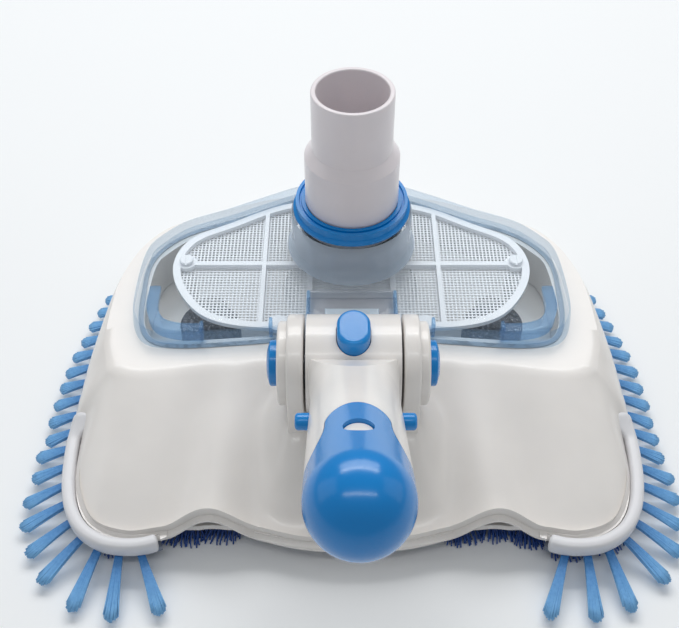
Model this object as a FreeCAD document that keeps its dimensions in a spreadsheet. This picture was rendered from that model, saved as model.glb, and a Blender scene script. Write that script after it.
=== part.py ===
import FreeCAD, Part
import math
import os
import re

import Sketcher

# Manual pool vacuum head: a weighted, half-moon suction head that is pushed over the pool floor
# on a telescopic pole. Millimetres, +Z up, front (pole side) towards -Y, origin on the floor
# under the middle of the head.

V = FreeCAD.Vector
X_AXIS = V(1, 0, 0)
Y_AXIS = V(0, 1, 0)
Z_AXIS = V(0, 0, 1)

SIZES = {
    # Places of the two main axes
    "hub_y": -2.3,             # pole hub axis, along Y
    "hub_z": 50,               # pole hub axis above the floor
    "hub_to_hose": 77.3,       # hub axis to hose axis, along Y
    # Shell
    "shell_width": 222,        # widest part of the shell
    "shell_front": 133,        # hose axis to the front edge
    "shell_back": 46,          # hose axis to the rear edge
    "shell_bottom_z": 9,       # lower edge of the shell
    "deck_z": 30,              # flat deck round the cover
    "shell_wall": 2.5,
    "crease": 66,              # where the deck turns down to the front face, from the hose axis
    "front_lip_z": 15,         # top of the front face at the front edge
    "arch_offset": 52,         # middle of each front arch from the centre line
    "arch_rise": 8,            # height of each arch over the lower edge
    "arch_half_width": 19,
    "arch_depth": 15,
    "boss_r": 3.6,             # screw bosses inside the shell
    # Floor plate
    "plate_thick": 2.5,
    "plate_lift": 0.5,         # floor plate above the shell's lower edge
    "fit_gap": 0.3,            # general clearance round a dropped-in piece
    "inlet_r": 30,             # suction opening under the hose
    "side_inlet_r": 7.5,
    "side_inlet_x": 61.4,
    "side_inlet_y": -12.8,
    "post_r": 3.2,             # posts that carry the filter frame
    "post_peg_r": 1.5,         # peg of each post, through the floor plate
    "peg_play": 0.06,
    # Filter
    "filter_z": 31,            # underside of the filter frame
    "filter_thick": 2,
    "filter_rim": 3.2,
    "filter_rib": 1.8,
    "filter_cross_y": 6.5,     # cross rib in front of the hose axis
    "mesh_thick": 0.6,
    # Clear cover
    "cover_wall": 2.2,
    "cover_top_z": 39.5,
    "cover_seat": 4.5,         # width of deck under the cover's foot
    "gasket_thick": 0.5,
    "collar_r": 24.5,
    "collar_bore_r": 21.6,
    "collar_throat_r": 18.5,
    "collar_seat_z": 49.7,
    "collar_top_z": 59,
    "recess_half_width": 17,   # latch recess in the cover's front
    "recess_length": 17,
    "recess_floor_z": 35,
    "recess_wall": 1.4,
    "skirt_spread": 1.8,       # cone round the foot of the collar
    "skirt_height": 3,
    # Cover hinge: two pins moulded on the cover in two ears of the shell
    "hinge_back": 44.9,        # hinge axis behind the hose axis
    "hinge_z": 32.7,
    "hinge_pin_r": 1.2,
    "hinge_play": 0.08,
    "hinge_x": 10,             # inner face of each cover lug
    "hinge_lug": 4,            # lug and ear widths
    # Hose spigot
    "flange_r": 21.2,
    "flange_z": 50,
    "flange_top_z": 58.6,
    "hose_big_r": 19,          # 38 mm hose cuff
    "neck_turn_r": 18.6,       # the part that turns inside the ring
    "hose_small_r": 16,        # 32 mm hose cuff
    "hose_step_z": 86.3,
    "hose_step_length": 4.2,
    "hose_top_z": 116,
    "hose_wall": 2,
    "seal_r": 20.35,
    "seal_wire_r": 1.05,
    "ring_play": 0.4,
    "ring_r": 23,
    "ring_height": 5,
    # Pole hub and its ears
    "hub_r": 18,
    "hub_width": 34,
    "hub_gap": 0.9,            # hub face to ear face
    "ear_thick": 6.1,
    "ear_cap_r": 15.5,
    "ear_cap_thick": 3.5,
    "axle_r": 4,
    "axle_play": 0.06,
    "bush_r": 6.5,
    "bush_flange_r": 10,
    "bush_flange": 0.6,
    "bush_length": 8,
    "axle_cap_r": 8.5,
    "axle_cap_thick": 4,
    # Handle
    "handle_rise": 33.3,       # degrees above level at rest
    "shaft_r": 14.5,
    "shaft_bore_r": 11.5,
    "shaft_end": 114,          # hub axis to the shaft's open end
    "neck_r": 16.9,
    "neck_start": 6,
    "neck_end": 46,
    "slope_start": 16.5,       # slope from the hub up to the top of the shaft
    "slope_low": 6,            # its low end over the shaft's axis
    "slope_end": 54,
    "bore_start": 56,
    "pin_reach": 65,           # hub axis to the snap pins
    "pin_r": 2.7,
    "pin_play": 0.08,
    "pin_out": 4.2,            # how far each pin stands out
    "pin_head_r": 4,
    "pin_head_thick": 1.6,
    "ball_reach": 125.6,       # hub axis to the end cap's ball centre
    "cap_plug": 16,
    "cap_wall": 2.4,
    "tongue_reach": 90,        # hub axis to the tongue's round end
    "tongue_half_width": 9,
    "tongue_thick": 2.2,
    "tongue_slot_reach": 108.5,
    "tongue_slot_width": 8.4,
    "tongue_slot_length": 9.4,
    "catch_below": 1.2,        # top of the shaft's catch under the tongue's face
    # Lock button on the hub
    "button_rise": 84,         # degrees above level at rest
    "button_width": 12,
    "button_length": 16,
    "button_proud": 4.5,
    "button_travel": 3,
    "button_depth": 5,
    "button_gap": 0.25,
    "spring_wire_r": 0.4,
    # Latch
    "latch_width": 22,
    "latch_length": 10,
    "latch_thick": 2.4,
    "latch_back": 0.6,         # latch behind the recess's front wall
    # Bumpers
    "bumper_width": 5,
    "bumper_bottom_z": 8,
    "bumper_top_z": 14.5,
    # Brushes
    "strip_bottom_z": 5.2,
    "strip_inset": 2.5,
    "strip_width": 6,
    "tuft_reach": 26,          # tufts at the front, from the strip's outer edge
    "tuft_side_reach": 16,     # tufts along the sides
    "tuft_sweep": 12,          # degrees that the tufts lean towards the rear
    "tuft_count": 19,
    "tuft_root_width": 2.6,
    "tuft_tip_width": 5,
    "tuft_thick": 1.7,
    "tuft_tip_z": 3.2,
    "foot_tuft_r": 3.4,        # bottom tufts, at the floor
    "foot_tuft_root_r": 2,
    # Weights
    "weight_height": 13,
    # Screws
    "screw_r": 1.6,
    "screw_head_r": 3,
    "screw_head": 1.6,
}

# The shell's half outline, from the rear middle round to the front middle. Across is a share of the
# half width; along is a share of the rear length (positive) or of the front length (negative),
# from the hose axis.
SHELL_OUTLINE = [
    (0.00, 1.000), (0.18, 0.970), (0.35, 0.885), (0.53, 0.730), (0.725, 0.510), (0.805, 0.330),
    (0.875, 0.040), (0.935, -0.140), (0.985, -0.340), (1.000, -0.600), (0.985, -0.800),
    (0.900, -0.950), (0.750, -1.005), (0.620, -0.985), (0.500, -0.945), (0.360, -0.955),
    (0.180, -0.990), (0.000, -1.000),
]

# Half outlines of the cover's foot and of the filter frame, in the same shares.
COVER_OUTLINE = [
    (0.00, 0.935), (0.19, 0.880), (0.335, 0.725), (0.49, 0.530), (0.65, 0.350), (0.74, 0.150),
    (0.785, -0.020), (0.795, -0.160), (0.785, -0.290), (0.735, -0.370), (0.640, -0.395),
    (0.480, -0.390), (0.330, -0.378), (0.160, -0.363), (0.00, -0.360),
]
FILTER_OUTLINE = [
    (0.00, 0.740), (0.19, 0.740), (0.36, 0.600), (0.50, 0.400), (0.63, 0.200), (0.685, -0.050),
    (0.630, -0.200), (0.550, -0.278), (0.320, -0.330), (0.160, -0.337), (0.00, -0.337),
]

DOC = FreeCAD.newDocument("PoolVacuumHead")
SHEET = DOC.addObject("Spreadsheet::Sheet", "Sizes")
for row, (alias, number) in enumerate(SIZES.items(), start=1):
    SHEET.set(f"A{row}", str(number))
    SHEET.setAlias(f"A{row}", alias)
DOC.recompute()

PARTS = []


def size(alias):
    """A driving size, read from the sheet."""
    return float(SHEET.get(alias))


HUB = V(0, size("hub_y"), size("hub_z"))
HOSE_Y = size("hub_y") + size("hub_to_hose")
SIDES = (("left", -1), ("right", 1))
HANDLE_TURN = FreeCAD.Rotation(X_AXIS, -size("handle_rise"))
BUTTON_TURN = FreeCAD.Rotation(X_AXIS, 90 - size("button_rise"))


# Sketches and turned bodies, bound to the sheet


def keep(obj, name, place=None):
    """Name a finished sub-part and, where given, place it."""
    obj.Label = name
    if place is not None:
        obj.Placement = place
    PARTS.append(obj)
    return obj


def plane(body, role):
    return next(f for f in body.Origin.OriginFeatures if f.Role == role)


def polygon_sketch(body, role, corners):
    """A closed sketch whose corners are pairs of expressions; the first is across, the second up."""
    sketch = body.newObject("Sketcher::SketchObject", "Profile")
    sketch.AttachmentSupport = (plane(body, role), "")
    sketch.MapMode = "FlatFace"
    values = [(value_of(across), value_of(up)) for across, up in corners]
    count = len(corners)
    for i in range(count):
        start = V(*values[i], 0)
        end = V(*values[(i + 1) % count], 0)
        sketch.addGeometry(Part.LineSegment(start, end), False)
    for i in range(count):
        sketch.addConstraint(Sketcher.Constraint("Coincident", i, 2, (i + 1) % count, 1))
    for i, (across, up) in enumerate(corners):
        for kind, expression, number, axis in (
            ("DistanceX", across, values[i][0], -2),
            ("DistanceY", up, values[i][1], -1),
        ):
            if expression == "0":
                sketch.addConstraint(Sketcher.Constraint("PointOnObject", i, 1, axis))
                continue
            index = sketch.addConstraint(Sketcher.Constraint(kind, -1, 1, i, 1, number))
            sketch.setExpression(f"Constraints[{index}]", expression)
    return sketch


def on_sheet(expression):
    """An expression with each alias written as a cell of the sheet."""
    return re.sub(r"[a-z_]+", lambda found: "Sizes." + found.group(), expression)


def value_of(expression):
    """The number that a sheet expression gives now, for a sketch's first guess."""
    return float(SHEET.evalExpression(expression))


def turned(name, corners):
    """A body turned about Z from a half profile of (radius, height) expressions.

    Names in the expressions are aliases of the sheet.
    """
    body = DOC.addObject("PartDesign::Body", name)
    corners = [(on_sheet(radius), on_sheet(height)) for radius, height in corners]
    sketch = polygon_sketch(body, "XZ_Plane", corners)
    turn = body.newObject("PartDesign::Revolution", "Turn")
    turn.Profile = sketch
    turn.ReferenceAxis = (sketch, ["V_Axis"])
    turn.Angle = 360
    body.Tip = turn
    DOC.recompute()
    return body


def rounded(body, radius, wanted):
    """Fillet the edges of a body that pass the test, with a radius from the sheet or a number."""
    base = body.Tip
    names = [f"Edge{i}" for i, edge in enumerate(base.Shape.Edges, start=1) if wanted(edge)]
    fillet = body.newObject("PartDesign::Fillet", "Round")
    fillet.Base = (base, names)
    fillet.Radius = radius
    body.Tip = fillet
    DOC.recompute()
    if not names or fillet.Shape.isNull() or not fillet.isValid():
        raise RuntimeError(f"{body.Name}: its fillet failed on {names}")
    return body


def ring_edge(radius, height, slack=0.01):
    """A test for the circular edge of this radius at this height."""
    def wanted(edge):
        box = edge.BoundBox
        flat = abs(box.ZMin - height) < slack and abs(box.ZMax - height) < slack
        return flat and abs(box.XMax - radius) < slack
    return wanted


# Plan outlines


def plan(across, along):
    """A plan point from shares of the shell's half width and of its front or rear length."""
    length = size("shell_front") if along < 0 else size("shell_back")
    return V(across * size("shell_width") / 2, HOSE_Y + along * length, 0)


def mirrored(half):
    """A full closed outline from a half one whose first and last points are on the centre line."""
    return half + [V(-p.x, p.y, p.z) for p in reversed(half[1:-1])]


def inset(points, distance):
    """Each point of a closed outline moved inwards, square to its neighbours."""
    count = len(points)
    moved = []
    for i, point in enumerate(points):
        along = (points[(i + 1) % count] - points[i - 1]).normalize()
        inward = V(along.y, -along.x, 0)
        moved.append(point + inward * distance)
    return moved


def at_height(points, height):
    return [V(p.x, p.y, height) for p in points]


def loop_wire(points):
    curve = Part.BSplineCurve()
    curve.interpolate(points, PeriodicFlag=True)
    return Part.Wire([curve.toShape()])


def prism(points, low, high):
    """A straight-sided solid over a closed smooth outline."""
    face = Part.Face(loop_wire(at_height(points, low)))
    return face.extrude(V(0, 0, high - low))


def shell_ring(distance=0.0):
    """The shell's lower edge, moved inwards by a distance."""
    return inset(mirrored([plan(u, v) for u, v in SHELL_OUTLINE]), distance)


def shell_form(distance, bottom):
    """The shell's outer form, moved inwards: its outline under a deck that falls to the front."""
    crease = HOSE_Y - size("crease")
    front = HOSE_Y - size("shell_front")
    deck = size("deck_z") - distance
    lip = size("front_lip_z") - distance
    far = size("shell_width")
    fall = Part.BSplineCurve()
    fall.interpolate([
        V(-far, crease, deck),
        V(-far, crease + (front - crease) * 0.55, deck - (deck - lip) * 0.35),
        V(-far, front, lip),
    ])
    corners = [V(-far, front, lip), V(-far, front - 9, 0), V(-far, far, 0), V(-far, far, deck),
               V(-far, crease, deck)]
    profile = Part.Wire([fall.toShape()] + Part.makePolygon(corners).Edges)
    under = Part.Face(profile).extrude(V(2 * far, 0, 0))
    return prism(shell_ring(distance), bottom, size("deck_z") + 5).common(under)


def cover_ring(distance):
    return inset(mirrored([plan(u, v) for u, v in COVER_OUTLINE]), distance)


def filter_ring(distance):
    return inset(mirrored([plan(u, v) for u, v in FILTER_OUTLINE]), distance)


def smooth_run(points, pieces):
    """Evenly spaced points and outward directions along an open smooth curve."""
    curve = Part.BSplineCurve()
    curve.interpolate(points)
    run = []
    for place in curve.discretize(Number=pieces):
        tangent = curve.tangent(curve.parameter(place))[0]
        run.append((place, V(-tangent.y, tangent.x, 0)))
    return run


def edge_run(first, last, distance, pieces):
    """A stretch of the right half of the lower edge, moved inwards by a distance."""
    return smooth_run(shell_ring(distance)[first:last + 1], pieces)


def band(first, last, outer, width, low, high):
    """A strip that follows the lower edge, from an outer inset over a width."""
    outside = [p for p, _ in edge_run(first, last, outer, 24)]
    inside = [p for p, _ in edge_run(first, last, outer + width, 24)]
    curves = []
    for points in (outside, inside):
        curve = Part.BSplineCurve()
        curve.interpolate(at_height(points, low))
        curves.append(curve.toShape())
    ends = [
        Part.LineSegment(V(a.x, a.y, low), V(b.x, b.y, low)).toShape()
        for a, b in ((outside[0], inside[0]), (outside[-1], inside[-1]))
    ]
    wire = Part.Wire(Part.__sortEdges__(curves + ends))
    return Part.Face(wire).extrude(V(0, 0, high - low))


def box_at(low, high):
    """A box between two corners."""
    span = high - low
    return Part.makeBox(span.x, span.y, span.z, low)


def rod(radius, start, end):
    """A round bar between two points."""
    span = end - start
    return Part.makeCylinder(radius, span.Length, start, span)


def mirror_x(shape):
    return shape.mirror(V(0, 0, 0), X_AXIS)


def free_form(name, shape):
    """A sub-part whose shape comes from Part's own functions."""
    obj = DOC.addObject("Part::Feature", name)
    obj.Shape = shape
    return keep(obj, name)


def on_side(shape, sign):
    return shape if sign > 0 else mirror_x(shape)


# Shell, floor plate and what is fixed to them

SCREW_SPOTS = ((0.83, -0.27), (0.73, -0.80), (0.535, 0.430))
FILTER_RIBS = (0.155, 0.335)
POST_SPOTS = ((0.635, -0.04), (0.27, -0.308), (0.20, 0.66))
BUMPER_ROWS = (9, 13)
STRIP_ROWS = (6, 13)


def both_sides(spots):
    """Plan points on both sides of the centre line."""
    points = [plan(u, v) for u, v in spots]
    return points + [V(-p.x, p.y, 0) for p in points]


def bumper_shape(extra=0.0):
    """The right bumper: a bar along the front corner's lower edge, with a wider rear end."""
    low = size("bumper_bottom_z") - extra
    high = size("bumper_top_z") + extra
    bar = band(*BUMPER_ROWS, -extra, size("bumper_width") + 2 * extra, low, high)
    if extra:
        return bar
    long_edges = [e for e in bar.Edges if e.Length > 3 * size("bumper_width")]
    return bar.makeFillet(size("bumper_width") * 0.3, long_edges)


def ear_shape():
    """The right hub ear: a disc on a pedestal that runs down into the shell."""
    inner = size("hub_width") / 2 + size("hub_gap")
    start = HUB + V(inner, 0, 0)
    disc = rod(size("hub_r"), start, start + V(size("ear_thick"), 0, 0))
    half = size("hub_r") * 0.92
    low = V(inner, HUB.y - half, size("deck_z") - 3 * size("shell_wall"))
    high = V(inner + size("ear_thick"), HUB.y + half, HUB.z - size("hub_r") * 0.4)
    return disc.fuse(box_at(low, high))


def hinge_ear():
    """The right rear ear of the shell, which holds the cover's hinge pin."""
    start = size("hinge_x") + size("hinge_lug") + size("fit_gap")
    centre = V(start, HOSE_Y + size("hinge_back"), size("hinge_z"))
    radius = 1.9 * size("hinge_pin_r")
    end = centre + V(size("hinge_lug"), 0, 0)
    low = V(start, centre.y - radius, size("deck_z") - 2 * size("shell_wall"))
    high = V(end.x, centre.y + radius, centre.z)
    solid = rod(radius, centre, end).fuse(box_at(low, high))
    return solid.cut(rod(size("hinge_pin_r") + size("hinge_play"), centre, end))


def make_upper_shell():
    wall = size("shell_wall")
    bottom = size("shell_bottom_z")
    deck = size("deck_z")
    outside = shell_form(0, bottom)
    inside = shell_form(wall, bottom - wall)
    window = prism(cover_ring(size("cover_seat")), bottom, deck + wall)
    shell = outside.cut(inside).cut(window)
    top = bottom + size("plate_lift") + size("plate_thick")
    bosses = [
        rod(size("boss_r"), V(p.x, p.y, top), V(p.x, p.y, deck)) for p in both_sides(SCREW_SPOTS)
    ]
    for boss in bosses:
        shell = shell.fuse(boss.common(outside).cut(window))
    for point in both_sides(SCREW_SPOTS):
        shell = shell.cut(rod(size("screw_r"), V(point.x, point.y, top - 1), point + V(0, 0, top + 5)))
    ear = ear_shape()
    for side in (ear, mirror_x(ear), hinge_ear(), mirror_x(hinge_ear())):
        shell = shell.fuse(side)
    for _, sign in SIDES:
        shell = shell.cut(arch_tool(sign))
        shell = shell.cut(on_side(bumper_shape(size("fit_gap") / 2), sign))
    reach = size("hub_width") / 2 + size("hub_gap") + size("ear_thick")
    return shell.cut(rod(size("axle_r"), HUB - V(reach, 0, 0), HUB + V(reach, 0, 0)))


def arch_tool(sign):
    """A long round bar that cuts one arch into the front edge."""
    half = size("arch_half_width")
    rise = size("arch_rise")
    radius = (half ** 2 + rise ** 2) / (2 * rise)
    front = HOSE_Y - size("shell_front")
    centre = V(sign * size("arch_offset"), front - 5, size("shell_bottom_z") + rise - radius)
    return rod(radius, centre, centre + V(0, size("arch_depth"), 0))


def make_bottom_plate():
    low = size("shell_bottom_z") + size("plate_lift")
    high = low + size("plate_thick")
    plate = prism(shell_ring(size("shell_wall") + size("fit_gap")), low, high)
    hose = V(0, HOSE_Y, 0)
    plate = plate.cut(rod(size("inlet_r"), hose, hose + V(0, 0, high + 1)))
    for _, sign in SIDES:
        spot = hose + V(sign * size("side_inlet_x"), size("side_inlet_y"), 0)
        plate = plate.cut(rod(size("side_inlet_r"), spot, spot + V(0, 0, high + 1)))
        plate = plate.cut(arch_tool(sign))
        keep_out = bumper_shape(size("fit_gap"))
        plate = plate.cut(on_side(keep_out, sign))
    for p in both_sides(SCREW_SPOTS):
        plate = plate.cut(rod(size("screw_r"), p, p + V(0, 0, high + 1)))
    hole = size("post_peg_r") + size("peg_play")
    for p in both_sides(POST_SPOTS):
        plate = plate.cut(rod(hole, p, p + V(0, 0, high + 1)))
    return plate


def make_filter_posts():
    """Posts that stand on the floor plate by a peg each; the outer two take the filter's screws."""
    low = size("shell_bottom_z") + size("plate_lift")
    seat = low + size("plate_thick")
    top = size("filter_z") - size("mesh_thick")
    depth = size("filter_thick") + size("mesh_thick") + 6
    posts = []
    for spots, bore in ((POST_SPOTS[:1], depth), (POST_SPOTS[1:], 0)):
        for p in both_sides(spots):
            post = rod(size("post_r"), V(p.x, p.y, seat), V(p.x, p.y, top))
            post = post.fuse(rod(size("post_peg_r"), V(p.x, p.y, low), V(p.x, p.y, seat)))
            if bore:
                post = post.cut(rod(size("screw_r"), V(p.x, p.y, top - bore), V(p.x, p.y, top + 1)))
            posts.append(post)
    return Part.makeCompound(posts)


def screw(head_at, direction, length):
    """A pan-head screw: its head stands on the given point, its shank goes along the direction."""
    head = rod(size("screw_head_r"), head_at - direction * size("screw_head"), head_at)
    head = head.makeFillet(size("screw_head") * 0.4, [head.Edges[0], head.Edges[2]])
    slot = box_at(V(-0.4, -size("screw_head_r"), 0), V(0.4, size("screw_head_r"), 0.6))
    outer = head_at - direction * size("screw_head")
    slot.translate(outer if direction.z > 0 else outer - V(0, 0, 0.6))
    return head.fuse(rod(size("screw_r"), head_at, head_at + direction * length)).cut(slot)


def make_screws():
    low = size("shell_bottom_z") + size("plate_lift")
    group = [screw(V(p.x, p.y, low), Z_AXIS, size("plate_thick") + 4) for p in both_sides(SCREW_SPOTS)]
    free_form("bottom_screws", Part.makeCompound(group))
    top = size("filter_z") + size("filter_thick")
    length = size("filter_thick") + size("mesh_thick") + 5
    group = [screw(V(p.x, p.y, top), -Z_AXIS, length) for p in both_sides(POST_SPOTS[:1])]
    free_form("filter_screws", Part.makeCompound(group))


def make_weight(sign):
    """A cast ballast block in the pocket between the filter and the cover's front corner."""
    low = size("shell_bottom_z") + size("plate_lift") + size("plate_thick")
    outline = [(0.45, -0.19), (0.57, -0.165), (0.625, -0.20), (0.64, -0.265), (0.60, -0.325), (0.46, -0.325)]
    points = [plan(u, v) for u, v in reversed(outline)]
    block = prism(points, low, low + size("weight_height"))
    top = [e for e in block.Edges if e.BoundBox.ZMin > low + size("weight_height") - 0.01]
    return on_side(block.makeFillet(1.5, top), sign)


def make_side_tufts(sign):
    """Flat flared tufts that fan out of the strip round one side and its front corner."""
    outer = size("strip_inset")
    first, last = STRIP_ROWS
    run = edge_run(first, last, outer, int(size("tuft_count")) + 1)[:-1]
    solids = []
    root_z = (size("strip_bottom_z") + size("shell_bottom_z")) / 2
    sweep = -math.radians(size("tuft_sweep"))
    for number, (place, outward) in enumerate(run):
        share = max(0, number - len(run) / 2) / (len(run) / 2 - 1)
        reach = size("tuft_side_reach") + (size("tuft_reach") - size("tuft_side_reach")) * min(1, share * 1.3)
        away = V(
            outward.x * math.cos(sweep) - outward.y * math.sin(sweep),
            outward.x * math.sin(sweep) + outward.y * math.cos(sweep),
            0,
        )
        aside = V(-away.y, away.x, 0)
        root = V(place.x, place.y, root_z) - away * 1.5
        tip = V(place.x, place.y, size("tuft_tip_z")) + away * reach
        sections = []
        for spot, width in ((root, size("tuft_root_width")), (tip, size("tuft_tip_width"))):
            half = aside * (width / 2)
            up = V(0, 0, size("tuft_thick") / 2)
            corners = [spot - half - up, spot + half - up, spot + half + up, spot - half + up]
            sections.append(Part.makePolygon(corners + corners[:1]))
        solids.append(Part.makeLoft(sections, True, True))
    return on_side(Part.makeCompound(solids), sign)


def make_foot_tufts(spots):
    """Bottom tufts: short flared bundles between the floor plate and the floor."""
    root_z = size("shell_bottom_z") + size("plate_lift")
    cones = [
        Part.makeCone(size("foot_tuft_r"), size("foot_tuft_root_r"), root_z, V(p.x, p.y, 0))
        for p in spots
    ]
    return Part.makeCompound(cones)


def front_tuft_spots():
    """A row of bottom tufts just inside the front edge."""
    run = [p for p, _ in edge_run(11, 17, 13, 8)]
    return run[:-1] + [V(-p.x, p.y, 0) for p in run[:-1]] + [V(0, run[-1].y, 0)]


def rear_tuft_spots():
    """A row of bottom tufts just inside the rear edge, clear of the screws."""
    run = [p for p, _ in edge_run(1, 5, 7, 6)]
    return run + [V(-p.x, p.y, 0) for p in run]


free_form("upper_shell", make_upper_shell())
free_form("bottom_plate", make_bottom_plate())
free_form("filter_posts", make_filter_posts())
make_screws()
for side, sign in SIDES:
    free_form(f"bumper_{side}", on_side(bumper_shape(), sign))
    strip = band(*STRIP_ROWS, size("strip_inset"), size("strip_width"),
                 size("strip_bottom_z"), size("bumper_bottom_z") - size("fit_gap"))
    free_form(f"side_brush_strip_{side}", on_side(strip, sign))
    free_form(f"side_tufts_{side}", make_side_tufts(sign))
    free_form(f"weight_{side}", make_weight(sign))
free_form("bottom_tufts_front", make_foot_tufts(front_tuft_spots()))
free_form("bottom_tufts_rear", make_foot_tufts(rear_tuft_spots()))


# Filter


def make_filter_frame():
    low = size("filter_z")
    high = low + size("filter_thick")
    frame = prism(filter_ring(0), low, high)
    opening = prism(filter_ring(size("filter_rim")), low - 1, high + 1)
    rib = size("filter_rib") / 2
    far = size("shell_width")
    cross = HOSE_Y - size("filter_cross_y")
    ribs = [box_at(V(-far, cross - rib, low - 1), V(far, cross + rib, high + 1))]
    for across in FILTER_RIBS:
        for sign in (-1, 1):
            middle = sign * across * size("shell_width") / 2
            ribs.append(box_at(V(middle - rib, -far, low - 1), V(middle + rib, 2 * far, high + 1)))
    for bar in ribs:
        opening = opening.cut(bar)
    frame = frame.cut(opening)
    for p in both_sides(POST_SPOTS):
        frame = frame.fuse(rod(size("post_r") + 1, V(p.x, p.y, low), V(p.x, p.y, high)))
    for p in both_sides(POST_SPOTS[:1]):
        frame = frame.cut(rod(size("screw_r"), V(p.x, p.y, low - 1), V(p.x, p.y, high + 1)))
    return frame


def make_filter_mesh():
    high = size("filter_z")
    sheet = prism(filter_ring(size("filter_rim") / 2), high - size("mesh_thick"), high)
    for p in both_sides(POST_SPOTS[:1]):
        sheet = sheet.cut(rod(size("screw_r"), V(p.x, p.y, high - 2), V(p.x, p.y, high + 1)))
    return sheet


free_form("filter_frame", make_filter_frame())
free_form("filter_mesh", make_filter_mesh())


# Clear cover, its latch and gasket


def hinge_lug():
    """The right hinge lug of the cover, with its pin."""
    centre = V(size("hinge_x"), HOSE_Y + size("hinge_back"), size("hinge_z"))
    end = centre + V(size("hinge_lug"), 0, 0)
    radius = 1.75 * size("hinge_pin_r")
    low = V(centre.x, centre.y - 5.5, centre.z - radius)
    high = V(end.x, centre.y, centre.z + radius)
    lug = rod(radius, centre, end).fuse(box_at(low, high))
    pin_end = end + V(size("fit_gap") + size("hinge_lug") - 0.5, 0, 0)
    return lug.fuse(rod(size("hinge_pin_r"), end, pin_end))


def cover_foot_z():
    return size("deck_z") + size("gasket_thick")


def cover_front():
    """Y of the cover's front wall in the middle."""
    return plan(*COVER_OUTLINE[-1]).y


def recess_box(grow):
    """The latch recess, grown by a wall."""
    front = cover_front()
    low = V(-size("recess_half_width") - grow, front - 5, size("recess_floor_z") - grow)
    high = V(
        size("recess_half_width") + grow,
        front + size("recess_length") + grow,
        size("cover_top_z") + (0 if grow else 5),
    )
    return box_at(low, high)


def make_clear_cover():
    wall = size("cover_wall")
    foot = cover_foot_z()
    top = size("cover_top_z")
    outside = prism(cover_ring(0), foot, top)
    inside = prism(cover_ring(wall), foot - 1, top - wall)
    hose = V(0, HOSE_Y, 0)
    collar = rod(size("collar_r"), hose + V(0, 0, top - wall), hose + V(0, 0, size("collar_top_z")))
    skirt = Part.makeCone(size("collar_r") + size("skirt_spread"), size("collar_r"),
                          size("skirt_height"), hose + V(0, 0, top))
    cover = outside.cut(inside)
    cover = cover.fuse(recess_box(size("recess_wall")).common(outside))
    cover = cover.fuse(collar).fuse(skirt)
    cover = cover.fuse(hinge_lug()).fuse(mirror_x(hinge_lug()))
    cover = cover.cut(rod(size("collar_throat_r"), hose + V(0, 0, foot), hose + V(0, 0, 200)))
    seat = V(0, HOSE_Y, size("collar_seat_z"))
    cover = cover.cut(rod(size("collar_bore_r"), seat, hose + V(0, 0, 200)))
    cover = cover.cut(recess_box(0))
    return cover


def make_gasket():
    low = size("deck_z")
    high = low + size("gasket_thick")
    outer = prism(cover_ring(0.2), low, high)
    return outer.cut(prism(cover_ring(size("cover_wall")), low - 1, high + 1))


def make_cover_latch():
    """A sliding thumb latch on the recess floor, with a ribbed pad."""
    floor = size("recess_floor_z") + size("fit_gap")
    half = size("latch_width") / 2
    front = cover_front() + size("latch_back")
    slab = box_at(
        V(-half, front, floor), V(half, front + size("latch_length"), floor + size("latch_thick"))
    )
    return slab.makeFillet(0.8, [e for e in slab.Edges if e.BoundBox.ZMin > floor + 0.5])


free_form("clear_cover", make_clear_cover())
free_form("cover_gasket", make_gasket())
free_form("cover_latch", make_cover_latch())

# Hose spigot, its seal and the ring that traps it


def make_hose_spigot():
    """A stepped tube for two hose cuff sizes, with a flange that turns in the collar."""
    groove = "flange_z + 2.4"
    body = turned("hose_spigot", [
        ("hose_big_r - hose_wall", "flange_z"),
        ("flange_r", "flange_z"),
        ("flange_r", groove),
        ("seal_r - seal_wire_r", groove),
        ("seal_r - seal_wire_r", groove + " + 2.4 * seal_wire_r"),
        ("flange_r", groove + " + 2.4 * seal_wire_r"),
        ("flange_r", "flange_top_z"),
        ("neck_turn_r", "flange_top_z"),
        ("neck_turn_r", "collar_top_z + ring_height + 0.4"),
        ("hose_big_r", "collar_top_z + ring_height + 0.8"),
        ("hose_big_r", "hose_step_z"),
        ("hose_small_r", "hose_step_z + hose_step_length"),
        ("hose_small_r", "hose_top_z"),
        ("hose_small_r - hose_wall", "hose_top_z"),
        ("hose_small_r - hose_wall", "hose_step_z + hose_step_length - 1"),
        ("hose_big_r - hose_wall", "hose_step_z - 1"),
    ])
    top = size("hose_top_z")
    rounded(body, 0.6, lambda e: ring_edge(size("hose_small_r"), top)(e)
            or ring_edge(size("hose_small_r") - size("hose_wall"), top)(e))
    return keep(body, "hose_spigot", FreeCAD.Placement(V(0, HOSE_Y, 0), FreeCAD.Rotation()))


def make_retaining_ring():
    """A flat ring on top of the collar, with a shallow groove round its top."""
    top = "collar_top_z + ring_height"
    body = turned("retaining_ring", [
        ("neck_turn_r + ring_play", "collar_top_z"),
        ("collar_r - 0.4", "collar_top_z"),
        ("collar_r - 0.4", "collar_top_z + 1"),
        ("ring_r", "collar_top_z + 1.6"),
        ("ring_r", top),
        ("ring_r - 1.3", top),
        ("ring_r - 1.6", top + " - 0.9"),
        ("ring_r - 2.2", top + " - 0.9"),
        ("ring_r - 2.4", top),
        ("neck_turn_r + ring_play", top),
    ])
    return keep(body, "retaining_ring", FreeCAD.Placement(V(0, HOSE_Y, 0), FreeCAD.Rotation()))


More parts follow.
